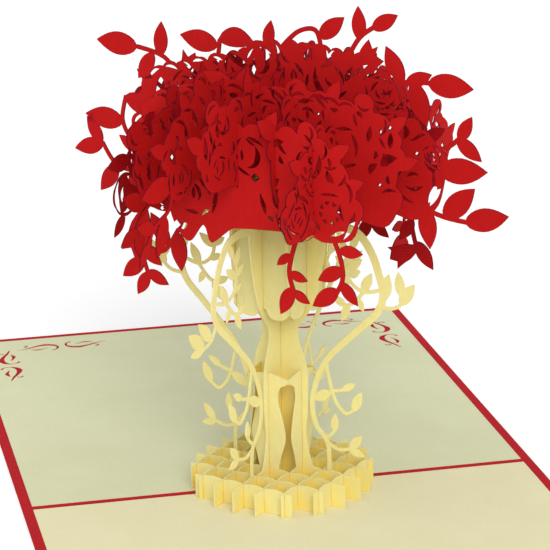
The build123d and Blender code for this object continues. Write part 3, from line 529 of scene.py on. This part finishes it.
SIDE_INNER = {
    "panel": [
        (-26, 88), (-29.4, 97), (-36, 98), (-43, 98.6), (-46, 104), (-44, 110.6), (-37, 116), (-26, 119.6),
        (-10, 121.6), (6, 122), (20, 120.4), (34, 115.4), (45, 108.6), (51.4, 100.6), (50.6, 92), (45, 86),
        (34, 83.6), (22, 85.1), (-20, 85.1),
    ],
    "roses": [
        (-39.4, 99.6, 6, "oval"), (-23, 110.4, 7, "ring"), (-5, 112.6, 7, "half"), (12.9, 112, 7.2, "large"),
        (29, 107, 6.6, "spiral"), (42.6, 99.6, 7, "moon"),
    ],
    "stems": [
        [(-42.5, 99.5), (-44.6, 92.5), (-51.5, 89.1), (-54.5, 85.1)], [(45, 103.2), (53.1, 105.2), (57, 101.2)],
    ],
    "leaves": [
        (-57, 98.1, -42.6, 99.2), (-59.5, 91.1, -51.5, 88.7), (-58.5, 80, -54.1, 85.7), (-50.5, 80.5, -46, 91),
        (59.1, 109.7, 52.7, 105), (63.6, 98.1, 56.6, 101.6), (-38.6, 122.6, -33.6, 115),
        (-29, 127.6, -28, 117.6), (-52.6, 110.6, -44.4, 107.4), (28.4, 125.4, 26, 117),
        (44.6, 117.6, 39.6, 110.6),
    ],
    "cuts": [(-43.4, 108.6, -41.4, 104, 0.5), (-33, 117, -30.6, 111, 0.3), (-36.4, 113.6, -35.4, 108.6, 0.3)],
}
SIDE_MIDDLE = {
    "panel": [
        (-26, 88), (-29.4, 96.8), (-35, 97.4), (-42, 98), (-46, 103), (-46, 109), (-41, 115), (-30, 119),
        (-14, 121.6), (2, 122), (18, 120.6), (32, 116), (43.6, 109.6), (50.4, 101.4), (49.6, 92.6), (44, 86.4),
        (34, 84), (22, 85.1), (-20, 85.1),
    ],
    "roses": [
        (-36.9, 114, 6, "half"), (-37.4, 103.6, 4.4, "ring"), (-22, 110.6, 7, "moon"),
        (-4, 112.4, 7.2, "spiral"), (14, 110.4, 7.4, "ring"), (30, 106, 6.6, "half", 90),
        (42, 97.6, 7.2, "oval"),
    ],
    "stems": [[(45, 104.2), (52.6, 106.4), (57.4, 104)]],
    "leaves": [
        (-52.8, 114.6, -44.6, 109.6), (-43.4, 122.6, -37.6, 115.4), (-24, 127.4, -23, 118.6),
        (58.4, 111.6, 52.4, 106), (64, 100.6, 56.8, 104.2), (30.4, 124.4, 26.4, 116.6), (44.4, 118.6, 39, 111.6),
        (58.6, 92.6, 49, 94.4),
    ],
    "cuts": [(-44.6, 113.6, -43.8, 107, 0.28), (-31, 104, -30.6, 98, 0.3)],
}
SIDE_RIGHT = {
    "panel": [
        (-18, 85.5), (-26, 90), (-30, 96), (-31, 104), (-30, 110.6), (-24, 114.6), (-10, 117.4), (6, 118),
        (20, 116.4), (34, 112), (45, 105.6), (51, 98.4), (51, 91.4), (46, 86), (36, 84), (24, 85),
    ],
    "roses": [
        (-22.4, 104.6, 6.8, "oval"), (-4, 109, 7.2, "ring"), (13, 108, 7.2, "half"), (29, 103.6, 7.2, "large"),
        (44, 95.4, 6.4, "dots"),
    ],
    "stems": [],
    "leaves": [
        (-37.4, 117.4, -28.6, 111.4), (-22.8, 122.6, -22, 113.6), (12.6, 124.4, 11, 115.6),
        (28.6, 120.6, 25, 112.6), (42.4, 113, 37.4, 107.6), (53.6, 104, 47, 99.6), (55.4, 89.6, 49, 91.6),
    ],
}
SIDE_NEAR = {
    "panel": [
        (-30, 86.6), (-36, 86.4), (-41.4, 87.2), (-43.6, 93), (-41, 98.6), (-35.4, 101.5), (-34, 106),
        (-28, 109.6), (-14, 112.4), (2, 113.4), (18, 112), (32, 107.5), (42, 101), (45.5, 94.4), (42, 88),
        (34, 85.2), (20, 84.7), (4, 84.8), (-14, 85),
    ],
    "roses": [
        (-36.8, 93.1, 6.2, "spiral"), (-12, 101, 7.6, "moon"), (6, 100.6, 7.6, "oval"), (24, 98, 7.6, "large"),
        (38, 93.4, 6.2, "half"),
    ],
    "stems": [[(16, 88), (19.4, 80), (18, 73.6)]],
    "leaves": [
        (-40.6, 108.6, -33, 104.6), (-27.4, 116.4, -24, 108.6), (-6, 120, -5.4, 111.4), (10.6, 120.4, 9, 111.8),
        (26.6, 116.6, 22.4, 109.4), (40.4, 109.4, 35, 103.6), (48.6, 100, 42, 95.4), (25.6, 78.6, 19, 80.4),
        (12.6, 77.4, 19, 77.6), (21.6, 66.6, 18.2, 74.2), (11.6, 69.4, 18.3, 74.6),
    ],
}
ACROSS = [FRONT_OUTER, FRONT_MIDDLE, FRONT_INNER, BACK_INNER, BACK_MIDDLE, BACK_OUTER]
ALONG = [SIDE_FAR, SIDE_LEFT, SIDE_INNER, SIDE_MIDDLE, SIDE_RIGHT, SIDE_NEAR]


def inside(outline, u, z):
    """Whether a point is inside an outline."""
    odd = False
    for k, (u2, z2) in enumerate(outline):
        u1, z1 = outline[k - 1]
        if (z1 > z) != (z2 > z) and u < u1 + (z - z1) / (z2 - z1) * (u2 - u1):
            odd = not odd
    return odd


# What fills a panel, in turn: radius, margin around it and number of tries. The large ones are roses.
FILLING = ((6.2, 0.6, 500), (4.4, 0.4, 800), (2.8, 0.2, 1500), (1.9, 0.2, 1800), (1.2, 0.2, 2000))
LEAST_ROSE = 3.0


def fill(design, panel, seed):
    """Roses, then leaf-shaped cuts, where the panel is still whole."""
    chance = random.Random(seed)
    taken = [row[:3] for row in design["roses"]] + design.get("plain", [])
    for tip, root in map(ends, design.get("cuts", [])):
        taken.append(((tip[0] + root[0]) / 2, (tip[1] + root[1]) / 2, math.dist(tip, root) / 2))
    low = [min(point[i] for point in panel) for i in (0, 1)]
    high = [max(point[i] for point in panel) for i in (0, 1)]
    kinds = sorted(ROSE_KINDS)
    cuts = []
    for size, margin, tries in FILLING:
        for _ in range(tries):
            spot = [chance.uniform(low[i], high[i]) for i in (0, 1)]
            if not inside(panel, *spot) or min(math.dist(spot, point) for point in panel) < size + margin:
                continue
            if any(math.dist(spot, row[:2]) < size + row[2] + margin for row in taken):
                continue
            taken.append((*spot, size))
            turn = chance.uniform(0, 360)
            if size > LEAST_ROSE:
                cuts += rose_cuts(spot, size, chance.choice(kinds), turn)
            else:
                tip, root = (polar(spot, reach, math.radians(turn)) for reach in (size, -size))
                cuts.append(leaf(tip, root, size * 0.95, 0.14))
    return cuts


def border(panel, seed):
    """Petal bumps and notches that break the upper border of a panel."""
    chance = random.Random(1000 + seed)
    bumps, notches = [], []
    outward = 1 if signed_area(panel) > 0 else -1
    length = 0.0
    for k, (u, z) in enumerate(panel):
        u1, z1 = panel[k - 1]
        length += math.dist((u, z), (u1, z1))
        away = Vector((z - z1, u1 - u)).normalized() * outward
        if length < 4.2 or away.y < 0.1:
            continue
        length = chance.uniform(-1.2, 0.6)
        if len(bumps) <= len(notches):
            size = chance.uniform(3.2, 4.6)
            middle = (u - away.x * size * 0.45, z - away.y * size * 0.45)
            bumps.append(disc(middle, size, lobes=3, turn=chance.uniform(0, 120), depth=0.16, sides=24))
            start, sweep = chance.uniform(0, 360), chance.uniform(70, 130)
            notches.append(crescent(middle, size * 0.72, start, sweep, size * 0.22))
        else:
            lean = chance.uniform(-0.5, 0.5)
            inward = Vector((-away.x - lean * away.y, -away.y + lean * away.x)).normalized()
            inward *= chance.uniform(3.0, 5.0)
            tip = (u + inward.x, z + inward.y)
            notches.append(leaf(tip, (u + away.x * 1.5, z + away.y * 1.5), chance.uniform(1.4, 2.2), 0.1))
    return bumps, notches


def round_petal(tip, root, number):
    """Round petal in place of an upright leaf, and the curved gap inside it."""
    middle = (root[0] * 0.5 + tip[0] * 0.5, root[1] * 0.5 + tip[1] * 0.5)
    radius = math.dist(tip, root) * 0.36
    outline = disc(middle, radius, lobes=3, turn=40 * number, depth=0.1, sides=24)
    return outline, crescent(middle, radius * 0.62, 50 * number, 140, radius * 0.24)


def red_slice(design, seed):
    """Overlapping outlines and petal gaps of one canopy slice."""
    panel = smooth(design["panel"], closed=True, step=1.2)
    parts, gaps = [panel], []
    for u, z, radius, kind, *rest in design["roses"]:
        turn = rest[0] if rest else 0
        parts.append(disc((u, z), radius, lobes=5, turn=turn))
        gaps += rose_cuts((u, z), radius, kind, turn)
    for points in design["stems"]:
        parts += stem(points, STEM)
    for k, row in enumerate(design["leaves"]):
        tip, root = ends(row)
        rises = tip[1] - root[1] > abs(tip[0] - root[0])
        if k % 2 and rises and design is not FRONT_INNER and inside(panel, *root):
            outline, gap = round_petal(tip, root, k)
            parts.append(outline)
            gaps.append(gap)
        else:
            parts += leaves([row])
    parts += [bud(*ends(row)) for row in design.get("buds", [])]
    gaps += [leaf(*ends(row), row[4] * math.dist(*ends(row))) for row in design.get("cuts", [])]
    bumps, notches = border(panel, seed)
    return parts + bumps, gaps + notches + fill(design, panel, seed)


# Small gaps through the whole canopy, where daylight shows: where the line of sight from the camera meets
# the plane of slice b3, and the width and height of the gap. The first family is seen more from the side,
# so its gaps are wider.
SIGHT_PLANE = -RED_PITCH / 2
FIRST_WIDER = 1.6
DAYLIGHT = [
    (-3.7, 92.3, 2.8, 2.4), (36.1, 110.1, 0.9, 1.9), (35.8, 95.5, 1.5, 1.1), (16.8, 112.7, 1.2, 0.9),
    (-31.5, 94.6, 1.4, 2.0), (-30.4, 75.2, 2.6, 2.6), (-35.4, 79.2, 1.5, 1.4), (-3.6, 122.6, 1.8, 3.4),
    (38.9, 111.5, 1.5, 1.4), (47.0, 105.6, 2.0, 1.1),
]


def daylight(offset, first):
    """The daylight gaps of one slice, where the lines of sight cross it."""
    eye = ((CAMERA_AT[0] + CAMERA_AT[1]) * HALF_ROOT, (CAMERA_AT[0] - CAMERA_AT[1]) * HALF_ROOT, CAMERA_AT[2])
    across, along = (1, 0) if first else (0, 1)
    gaps = []
    for b, height_above, width, height in DAYLIGHT:
        way = [point - start for point, start in zip((SIGHT_PLANE, b, height_above), eye)]
        reach = (offset - eye[across]) / way[across]
        u, z = eye[along] + way[along] * reach, eye[2] + way[2] * reach
        half = width / 2 * (FIRST_WIDER if first else 1.0)
        gaps.append([(u - half, z), (u, z - height / 2), (u + half, z), (u, z + height / 2)])
    return gaps


def spans(parts, u):
    """Heights between which overlapping outlines have paper along one upright line."""
    runs = []
    for outline in parts:
        heights = []
        for k, (u2, z2) in enumerate(outline):
            u1, z1 = outline[k - 1]
            if (u1 < u) != (u2 < u):
                heights.append(z1 + (u - u1) / (u2 - u1) * (z2 - z1))
        heights.sort()
        runs += zip(heights[::2], heights[1::2])
    merged = []
    for low, high in sorted(runs):
        if merged and low <= merged[-1][1] + 0.01:
            merged[-1][1] = max(merged[-1][1], high)
        else:
            merged.append([low, high])
    return merged


def box(u, half, low, high):
    """Rectangle about an upright line."""
    return [(u - half, low), (u + half, low), (u + half, high), (u - half, high)]


def half_laps(first, second):
    """Slots where two families of slices cross: the first loses its upper half, the second its lower."""
    slots = {name: [] for name in list(first) + list(second)}
    half = SHEET / 2 + PLAY
    for name_a, (offset_a, parts_a, _) in first.items():
        for name_b, (offset_b, parts_b, _) in second.items():
            for low_a, high_a in spans(parts_a, offset_b):
                for low_b, high_b in spans(parts_b, offset_a):
                    low, high = max(low_a, low_b), min(high_a, high_b)
                    if high <= low:
                        continue
                    middle = (low + high) / 2
                    top = high + (SLOT_REACH if high_a - high < SLOT_REACH else PLAY)
                    bottom = low - (SLOT_REACH if low - low_b < SLOT_REACH else PLAY)
                    slots[name_a].append(box(offset_b, half, middle, top))
                    slots[name_b].append(box(offset_a, half, bottom, middle))
    return slots


def triangulate(faces, solid, extra=()):
    """Triangles covered by the solid outlines (the first ones) and by none of the rest."""
    points, rings, edges = [], [], []
    for outline in faces:
        rings.append(list(range(len(points), len(points) + len(outline))))
        points += [Vector(p) for p in (outline if signed_area(outline) > 0 else outline[::-1])]
    for line in extra:
        start = len(points)
        points += [Vector(p) for p in line]
        edges += [(start + k, start + (k + 1) % len(line)) for k in range(len(line))]
    verts, _, tris, _, _, origins = delaunay_2d_cdt(points, edges, rings, 1, 1e-4, True)
    kept = [
        tri for tri, origin in zip(tris, origins)
        if any(k < solid for k in origin) and not any(k >= solid for k in origin)
    ]
    return verts, kept


def largest(verts, tris):
    """Triangles of the largest connected sheet."""
    by_edge = {}
    for index, tri in enumerate(tris):
        for k in range(3):
            by_edge.setdefault(frozenset((tri[k - 1], tri[k])), []).append(index)
    best, best_area, seen = [], 0.0, set()
    for start in range(len(tris)):
        if start in seen:
            continue
        seen.add(start)
        queue, group, area = [start], [], 0.0
        while queue:
            index = queue.pop()
            group.append(tris[index])
            a, b, c = (verts[v] for v in tris[index])
            area += abs((b - a).cross(c - a)) / 2
            for k in range(3):
                for other in by_edge[frozenset((tris[index][k - 1], tris[index][k]))]:
                    if other not in seen:
                        seen.add(other)
                        queue.append(other)
        if area > best_area:
            best, best_area = group, area
    return best


def open_sides(tris):
    """Sides of triangles, as (start, end), that no other triangle shares."""
    sides = {(tri[k - 1], tri[k]) for tri in tris for k in range(3)}
    return [side for side in sides if side[::-1] not in sides]


def loops(tris):
    """Boundary loops of a triangulation, with the sheet on their left."""
    follow = {}
    for start, end in open_sides(tris):
        follow.setdefault(start, []).append(end)
    rings = []
    while follow:
        start = min(follow)
        ring, here = [], start
        while True:
            ring.append(here)
            onward = follow[here].pop()
            if not follow[here]:
                del follow[here]
            here = onward
            if here == start or here not in follow:
                break
        rings.append(ring)
    return rings


def signed_area(ring):
    """Area inside a ring, negative when it runs clockwise."""
    return sum(ring[k - 1][0] * ring[k][1] - ring[k][0] * ring[k - 1][1] for k in range(len(ring))) / 2


def inset(ring, distance):
    """The ring moved into the sheet, its corners cut short."""
    moved = []
    count = len(ring)
    for k in range(count):
        before, here, after = (Vector(ring[i % count]) for i in (k - 1, k, k + 1))
        one, two = (here - before).normalized(), (after - here).normalized()
        normal = Vector((-one.y - two.y, one.x + two.x))
        if normal.length < 0.3:
            continue
        normal.normalize()
        share = max(0.5, normal.dot(Vector((-one.y, one.x))))
        moved.append(tuple(here + normal * distance / share))
    return moved


def sheet_mesh(name, parts, gaps, place, thickness, face_paper, cut_paper):
    """Cut a sheet out of paper: two faces with a rim along every cut (laser scorch on red paper, painted shade on
    cream), and the walls of every cut.
    """
    verts, tris = triangulate(parts + gaps, len(parts))
    tris = largest(verts, tris)
    rings = [[tuple(verts[v]) for v in ring] for ring in loops(tris)]
    rings = [ring for ring in rings if len(ring) > 2 and abs(signed_area(ring)) > SPECK]
    outer = [ring for ring in rings if signed_area(ring) > 0]
    holes = [ring for ring in rings if signed_area(ring) <= 0]
    verts, tris = triangulate(outer + holes, len(outer), [inset(ring, RIM) for ring in outer + holes])
    tris = largest(verts, tris)
    used = sorted({v for tri in tris for v in tri})
    number = {v: k for k, v in enumerate(used)}
    tris = [tuple(number[v] for v in tri) for tri in tris]
    edge = sorted(open_sides(tris))
    count = len(used)
    points = [place(*verts[v], thickness / 2) for v in used] + [place(*verts[v], -thickness / 2) for v in used]
    rim_points = {v for side in edge for v in side}
    faces = list(tris) + [tuple(count + v for v in tri[::-1]) for tri in tris]
    walls_from = len(faces)
    faces += [(b, a, count + a, count + b) for a, b in edge]
    mesh = bpy.data.meshes.new(name)
    mesh.from_pydata(points, [], faces)
    # Rim mask along every cut: laser scorch on red paper, painted shade on cream paper.
    scorch_and_rim_shade = mesh.attributes.new("scorch_and_rim_shade", "FLOAT", "POINT")
    scorch_and_rim_shade.data.foreach_set("value", [1.0 if v % count in rim_points else 0.0 for v in range(2 * count)])
    mesh.polygons.foreach_set("material_index", [0] * walls_from + [1] * (len(faces) - walls_from))
    mesh.validate()
    shell = bmesh.new()
    shell.from_mesh(mesh)
    bmesh.ops.recalc_face_normals(shell, faces=shell.faces)
    shell.to_mesh(mesh)
    shell.free()
    mesh.update()
    mesh.materials.append(face_paper)
    mesh.materials.append(cut_paper)
    piece = bpy.data.objects.new(name, mesh)
    bpy.context.scene.collection.objects.link(piece)
    return piece


def on_lattice(offset, first):
    """Placing function of one upright slice, in metres."""
    def place(u, z, side):
        a, b = (u, offset + side) if first else (offset + side, u)
        return ((a + b) * HALF_ROOT * MM, (a - b) * HALF_ROOT * MM, z * MM)
    return place


def slice_families():
    """All slices by direction and name: offset, overlapping outlines and gaps."""
    first, second = {}, {}
    for number in range(1, BASE_STRIPS + 1):
        offset = (number - (BASE_STRIPS + 1) / 2) * BASE_PITCH
        strip = [base_strip(offset)]
        if abs(offset) < BASE_PITCH / 2:
            for family, name, high in ((first, "trunk_slice_a", False), (second, "trunk_slice_b", True)):
                branch = vine(high)
                family[name] = (offset, strip + [trunk()] + branch + [flip(part) for part in branch], [])
            continue
        if abs(offset) < 1.5 * BASE_PITCH:
            strip = strip + [petal()]
        first[f"base_slice_a{number}"] = (offset, strip, [])
        second[f"base_slice_b{number}"] = (offset, strip, [])
    for side, offset in (("front", -CROWN_OFFSET), ("back", CROWN_OFFSET)):
        first[f"crown_panel_a_{side}"] = (-offset, [crown()], [])
        second[f"crown_panel_b_{side}"] = (offset, [crown()], [])
    for index in range(len(ACROSS)):
        offset = (index - (len(ACROSS) - 1) / 2) * RED_PITCH
        for family, letter, designs in ((first, "a", ALONG), (second, "b", ACROSS)):
            parts, gaps = red_slice(designs[index], 10 * index + (family is first))
            gaps += daylight(offset, family is first)
            family[f"canopy_slice_{letter}{index + 1}"] = (offset, parts, gaps)
    return first, second


# One flourish of the back insert about the middle of its pair: strokes of (x, y, width) rows.
FLOURISH = [
    [
        (-3.5, -3.5, 1.0), (-2.4, -1.9, 0.7), (-0.3, -1.5, 0.9), (1.5, -2.8, 1.7), (2.3, -5.4, 2.0),
        (1.5, -8.2, 1.3), (-0.3, -11.8, 0.9), (-1.5, -15.2, 0.3),
    ],
    [(-0.8, -4.7, 0.4), (-1.7, -6.6, 0.8), (-2.1, -8.6, 1.4), (-1.4, -10.8, 0.4)],
    [(0.7, -11.0, 0.4), (1.7, -12.2, 0.8), (2.9, -11.0, 0.9)],
]
INSERT_HALF = 72.0
INSERT_NEAR, INSERT_FAR = 1.4, 147.0
PAIR_SIDE = (63.4, 122.2)
PAIR_FAR = (44.3, 137.8)


def flourishes():
    """Cut-outs of the four pairs, mirrored about the middle of the card."""
    cuts = []
    for side in (-1, 1):
        for turn in (1, -1):
            for rows in FLOURISH:
                upright = [(side * (PAIR_SIDE[0] - turn * x), PAIR_SIDE[1] + turn * y, w) for x, y, w in rows]
                lying = [(side * (PAIR_FAR[0] - turn * y), PAIR_FAR[1] + turn * x, w) for x, y, w in rows]
                cuts += brush(upright) + brush(lying)
    return cuts


def flat_place(x, y, side):
    """Place of a point of the back insert, in metres."""
    return (x * MM, y * MM, (GROUND - INSERT / 2 + side) * MM)


def linear(*rgb):
    """Scene colour of a display colour given as 0 to 255."""
    def one(value):
        value /= 255
        return value / 12.92 if value <= 0.04045 else ((value + 0.055) / 1.055) ** 2.4
    return (*(one(value) for value in rgb), 1.0)


class Nodes:
    """Small helper that makes a material's nodes and links."""

    def __init__(self, name):
        self.material = bpy.data.materials.new(name)
        self.material.use_nodes = True
        self.tree = self.material.node_tree
        self.shader = self.tree.nodes["Principled BSDF"]
        self.coords = self.add("ShaderNodeTexCoord").outputs["Object"]

    def feed(self, socket, value):
        """Give a socket a value or the output of a node."""
        if isinstance(value, bpy.types.NodeSocket):
            self.tree.links.new(value, socket)
        else:
            socket.default_value = value

    def add(self, kind, inputs=None, **settings):
        node = self.tree.nodes.new(kind)
        for key, value in settings.items():
            setattr(node, key, value)
        for name, value in (inputs or {}).items():
            self.feed(node.inputs[name], value)
        return node

    def noise(self, scale, detail=4.0, roughness=0.6, stretch=None):
        source = self.coords
        if stretch:
            source = self.add("ShaderNodeMapping", {"Scale": stretch, "Vector": source}).outputs["Vector"]
        inputs = {"Scale": scale, "Detail": detail, "Roughness": roughness, "Vector": source}
        return self.add("ShaderNodeTexNoise", inputs).outputs["Fac"]

    def span(self, source, low, high, to_low, to_high):
        inputs = {"Value": source, "From Min": low, "From Max": high, "To Min": to_low, "To Max": to_high}
        return self.add("ShaderNodeMapRange", inputs).outputs["Result"]

    def mix(self, share, one, two):
        node = self.add("ShaderNodeMix", {"Factor": share}, data_type="RGBA")
        for socket, value in zip([s for s in node.inputs if s.type == "RGBA"], (one, two)):
            self.feed(socket, value)
        return [s for s in node.outputs if s.type == "RGBA"][0]

    def math(self, operation, one, two):
        node = self.add("ShaderNodeMath", operation=operation)
        self.feed(node.inputs[0], one)
        self.feed(node.inputs[1], two)
        return node.outputs["Value"]


ROUGHNESS = 0.7
GLOW_RADIUS = (1.0, 0.8, 0.35)
GLOW_DEPTH = 0.0012
CORNER_REACH = 0.012


def paper(name, colour, deep, rim=None, ribs=0.0, grain=0.00004, gloss=0.3, glow=0.0):
    """Paper: fibres in colour and relief, faint ribs of the mould, a darker rim along the cuts (laser scorch on red
    paper, painted shade on cream), light that seeps through, and painted warm light in corners and recesses.
    """
    nodes = Nodes(name)
    cloud = nodes.noise(45, 3)
    fibre = nodes.noise(900, 5, 0.7, stretch=(1.0, 1.0, 0.35))
    tone = nodes.mix(nodes.span(cloud, 0.3, 0.7, 0.0, 0.5), colour, deep)
    tone = nodes.mix(nodes.span(fibre, 0.35, 0.75, 0.0, 0.45), tone, deep)
    relief = fibre
    if ribs:
        inputs = {"Scale": 349, "Distortion": 0.6, "Detail": 1.0, "Vector": nodes.coords}
        wave = nodes.add("ShaderNodeTexWave", inputs, bands_direction="Z").outputs["Fac"]
        tone = nodes.mix(nodes.span(wave, 0.0, 1.0, 0.0, ribs), tone, deep)
        relief = nodes.math("ADD", fibre, nodes.math("MULTIPLY", wave, ribs))
    if rim:
        # Rim along the cuts: laser scorch on red paper, painted shade on cream paper.
        attribute = nodes.add("ShaderNodeAttribute", attribute_name="scorch_and_rim_shade")
        tone = nodes.mix(nodes.span(attribute.outputs["Fac"], 0.1, 0.95, 0.0, 0.85), tone, rim)
    surface = {"Specular IOR Level": gloss}
    if glow:
        # Painted light: the cream turns warm amber where ambient occlusion finds corners and recesses, standing in
        # for light that bounces and seeps through the paper there.
        shade = nodes.add("ShaderNodeAmbientOcclusion", {"Distance": CORNER_REACH}, samples=8).outputs["AO"]
        tone = nodes.mix(nodes.span(shade, 0.1, 0.42, 0.8, 0.0), tone, PAINTED_CORNER_LIGHT)
        surface["Subsurface Weight"] = glow
        surface["Subsurface Radius"] = GLOW_RADIUS
        surface["Subsurface Scale"] = GLOW_DEPTH
    surface["Base Color"] = tone
    surface["Roughness"] = nodes.span(fibre, 0.3, 0.7, ROUGHNESS - 0.06, ROUGHNESS + 0.08)
    relief = {"Strength": 0.5, "Distance": grain, "Height": relief}
    surface["Normal"] = nodes.add("ShaderNodeBump", relief).outputs["Normal"]
    for name, value in surface.items():
        nodes.feed(nodes.shader.inputs[name], value)
    return nodes.material


SCORCH = linear(98, 12, 28)
# Warm amber painted into the corners and recesses of the cream paper as light.
PAINTED_CORNER_LIGHT = linear(250, 214, 84)
RED_PAPER = paper("red_paper_fibre", linear(184, 24, 24), linear(166, 16, 18), rim=SCORCH, ribs=0.15, gloss=0.06)
# Ribbed crimson paper: the ribs are the paper's own, its darker crimson is painted shade.
RIBBED_SHADED_PAPER = paper("red_paper_ribbed_painted_shade", linear(172, 22, 26), linear(144, 12, 18), rim=SCORCH, ribs=0.5, gloss=0.06)
RED_CUT = paper("red_paper_cut", linear(110, 8, 28), linear(74, 4, 20), gloss=0.06)
CREAM = linear(231, 221, 158)
CREAM_DEEP = linear(219, 203, 128)
# The darker rim along the cuts of the cream paper is painted shade.
CREAM_PAPER = paper("cream_paper_fibre", CREAM, CREAM_DEEP, rim=linear(206, 192, 118), glow=0.5)
CREAM_CUT = paper("cream_paper_cut", linear(232, 224, 170), linear(208, 192, 126), glow=0.5)
INSERT_PAPER = paper("cream_insert_fibre", linear(212, 214, 178), linear(200, 202, 162), grain=0.00003)
FRONT_INSERT = paper("cream_insert_warm", linear(224, 219, 180), linear(214, 208, 166), grain=0.00003)
COVER_CARD = paper("red_card_fibre", linear(182, 20, 30), linear(158, 12, 22), grain=0.00005, gloss=0.15)


# Canopy slices cut from the crimson paper with visible ribs; the back slices and the far-left slice get its darker
# crimson as painted shade.
RIBBED_AND_SHADED = ("a1", "b4", "b5", "b6")


def build_slices():
    """Smooth sheets in place of the slices of the frame."""
    first, second = slice_families()
    slots = half_laps(first, second)
    for family, is_first in ((first, True), (second, False)):
        for name, (offset, parts, gaps) in family.items():
            red = name.startswith("canopy")
            papers = (CREAM_PAPER, CREAM_CUT)
            if red:
                papers = (RIBBED_SHADED_PAPER if name[-2:] in RIBBED_AND_SHADED else RED_PAPER, RED_CUT)
            sheet = name.replace("slice", "sheet").replace("panel", "sheet")
            place = on_lattice(offset, is_first)
            piece = sheet_mesh(sheet, parts, gaps + slots[name], place, SHEET, *papers)
            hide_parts(name)
            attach(piece, "root")


def build_insert():
    """Back insert with its calligraphic cut-outs."""
    outline = box(0, INSERT_HALF, INSERT_NEAR, INSERT_FAR)
    papers = (INSERT_PAPER, INSERT_PAPER)
    piece = sheet_mesh("insert_sheet_back", [outline], flourishes(), flat_place, INSERT, *papers)
    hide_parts("insert_back")
    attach(piece, "root")


def dress_frame():
    """Better material on the nodes that stay."""
    for name, material in (("card_cover", COVER_CARD), ("insert_front", FRONT_INSERT)):
        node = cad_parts[name]
        for k in range(max(1, len(node.material_slots))):
            if not node.material_slots:
                node.data.materials.append(material)
            node.material_slots[k].material = material


def make_floor():
    mesh = bpy.data.meshes.new("studio_floor")
    size = 3.0
    mesh.from_pydata([(-size, -size, 0), (size, -size, 0), (size, size, 0), (-size, size, 0)], [], [(0, 1, 2, 3)])
    floor = bpy.data.objects.new("studio_floor", mesh)
    bpy.context.scene.collection.objects.link(floor)
    nodes = Nodes("floor_white")
    for name, value in (("Base Color", (0.97, 0.97, 0.97, 1)), ("Roughness", 0.9), ("Specular IOR Level", 0.1)):
        nodes.feed(nodes.shader.inputs[name], value)
    mesh.materials.append(nodes.material)


# Soft suns as (name, direction, strength, angle), and the strength of the white surroundings.
SUNS = (("key", (0.05, 1.0, -0.62), 2.0, 35), ("top", (0.1, 0.15, -1.0), 0.7, 60))
SURROUNDINGS = 0.58


def make_lights():
    world = bpy.data.worlds.new("studio_world")
    bpy.context.scene.world = world
    world.use_nodes = True
    world.node_tree.nodes["Background"].inputs["Color"].default_value = (1, 1, 1, 1)
    world.node_tree.nodes["Background"].inputs["Strength"].default_value = SURROUNDINGS
    for name, direction, strength, angle in SUNS:
        lamp = bpy.data.lights.new(name, "SUN")
        lamp.energy = strength
        lamp.angle = math.radians(angle)
        light = bpy.data.objects.new(name, lamp)
        light.rotation_mode = "QUATERNION"
        light.rotation_quaternion = Vector(direction).to_track_quat("-Z", "Y")
        bpy.context.scene.collection.objects.link(light)


def make_camera():
    forward = Vector((math.sin(YAW) * math.cos(PITCH), math.cos(YAW) * math.cos(PITCH), -math.sin(PITCH)))
    level = Vector((math.cos(YAW), -math.sin(YAW), 0))
    above = level.cross(forward)
    right = level * math.cos(ROLL) + above * math.sin(ROLL)
    up = above * math.cos(ROLL) - level * math.sin(ROLL)
    data = bpy.data.cameras.new("photo_camera")
    data.sensor_width = 36.0
    data.lens = FOCAL_PIXELS / FRAME_PIXELS * data.sensor_width
    data.clip_start = 0.01
    camera = bpy.data.objects.new("photo_camera", data)
    turn = Matrix((right, up, -forward)).transposed().to_4x4()
    camera.matrix_world = Matrix.Translation(Vector(CAMERA_AT) * MM) @ turn
    bpy.context.scene.collection.objects.link(camera)
    bpy.context.scene.camera = camera


build_slices()
build_insert()
dress_frame()
make_floor()
make_lights()
make_camera()
bpy.context.scene.view_settings.view_transform = "Standard"
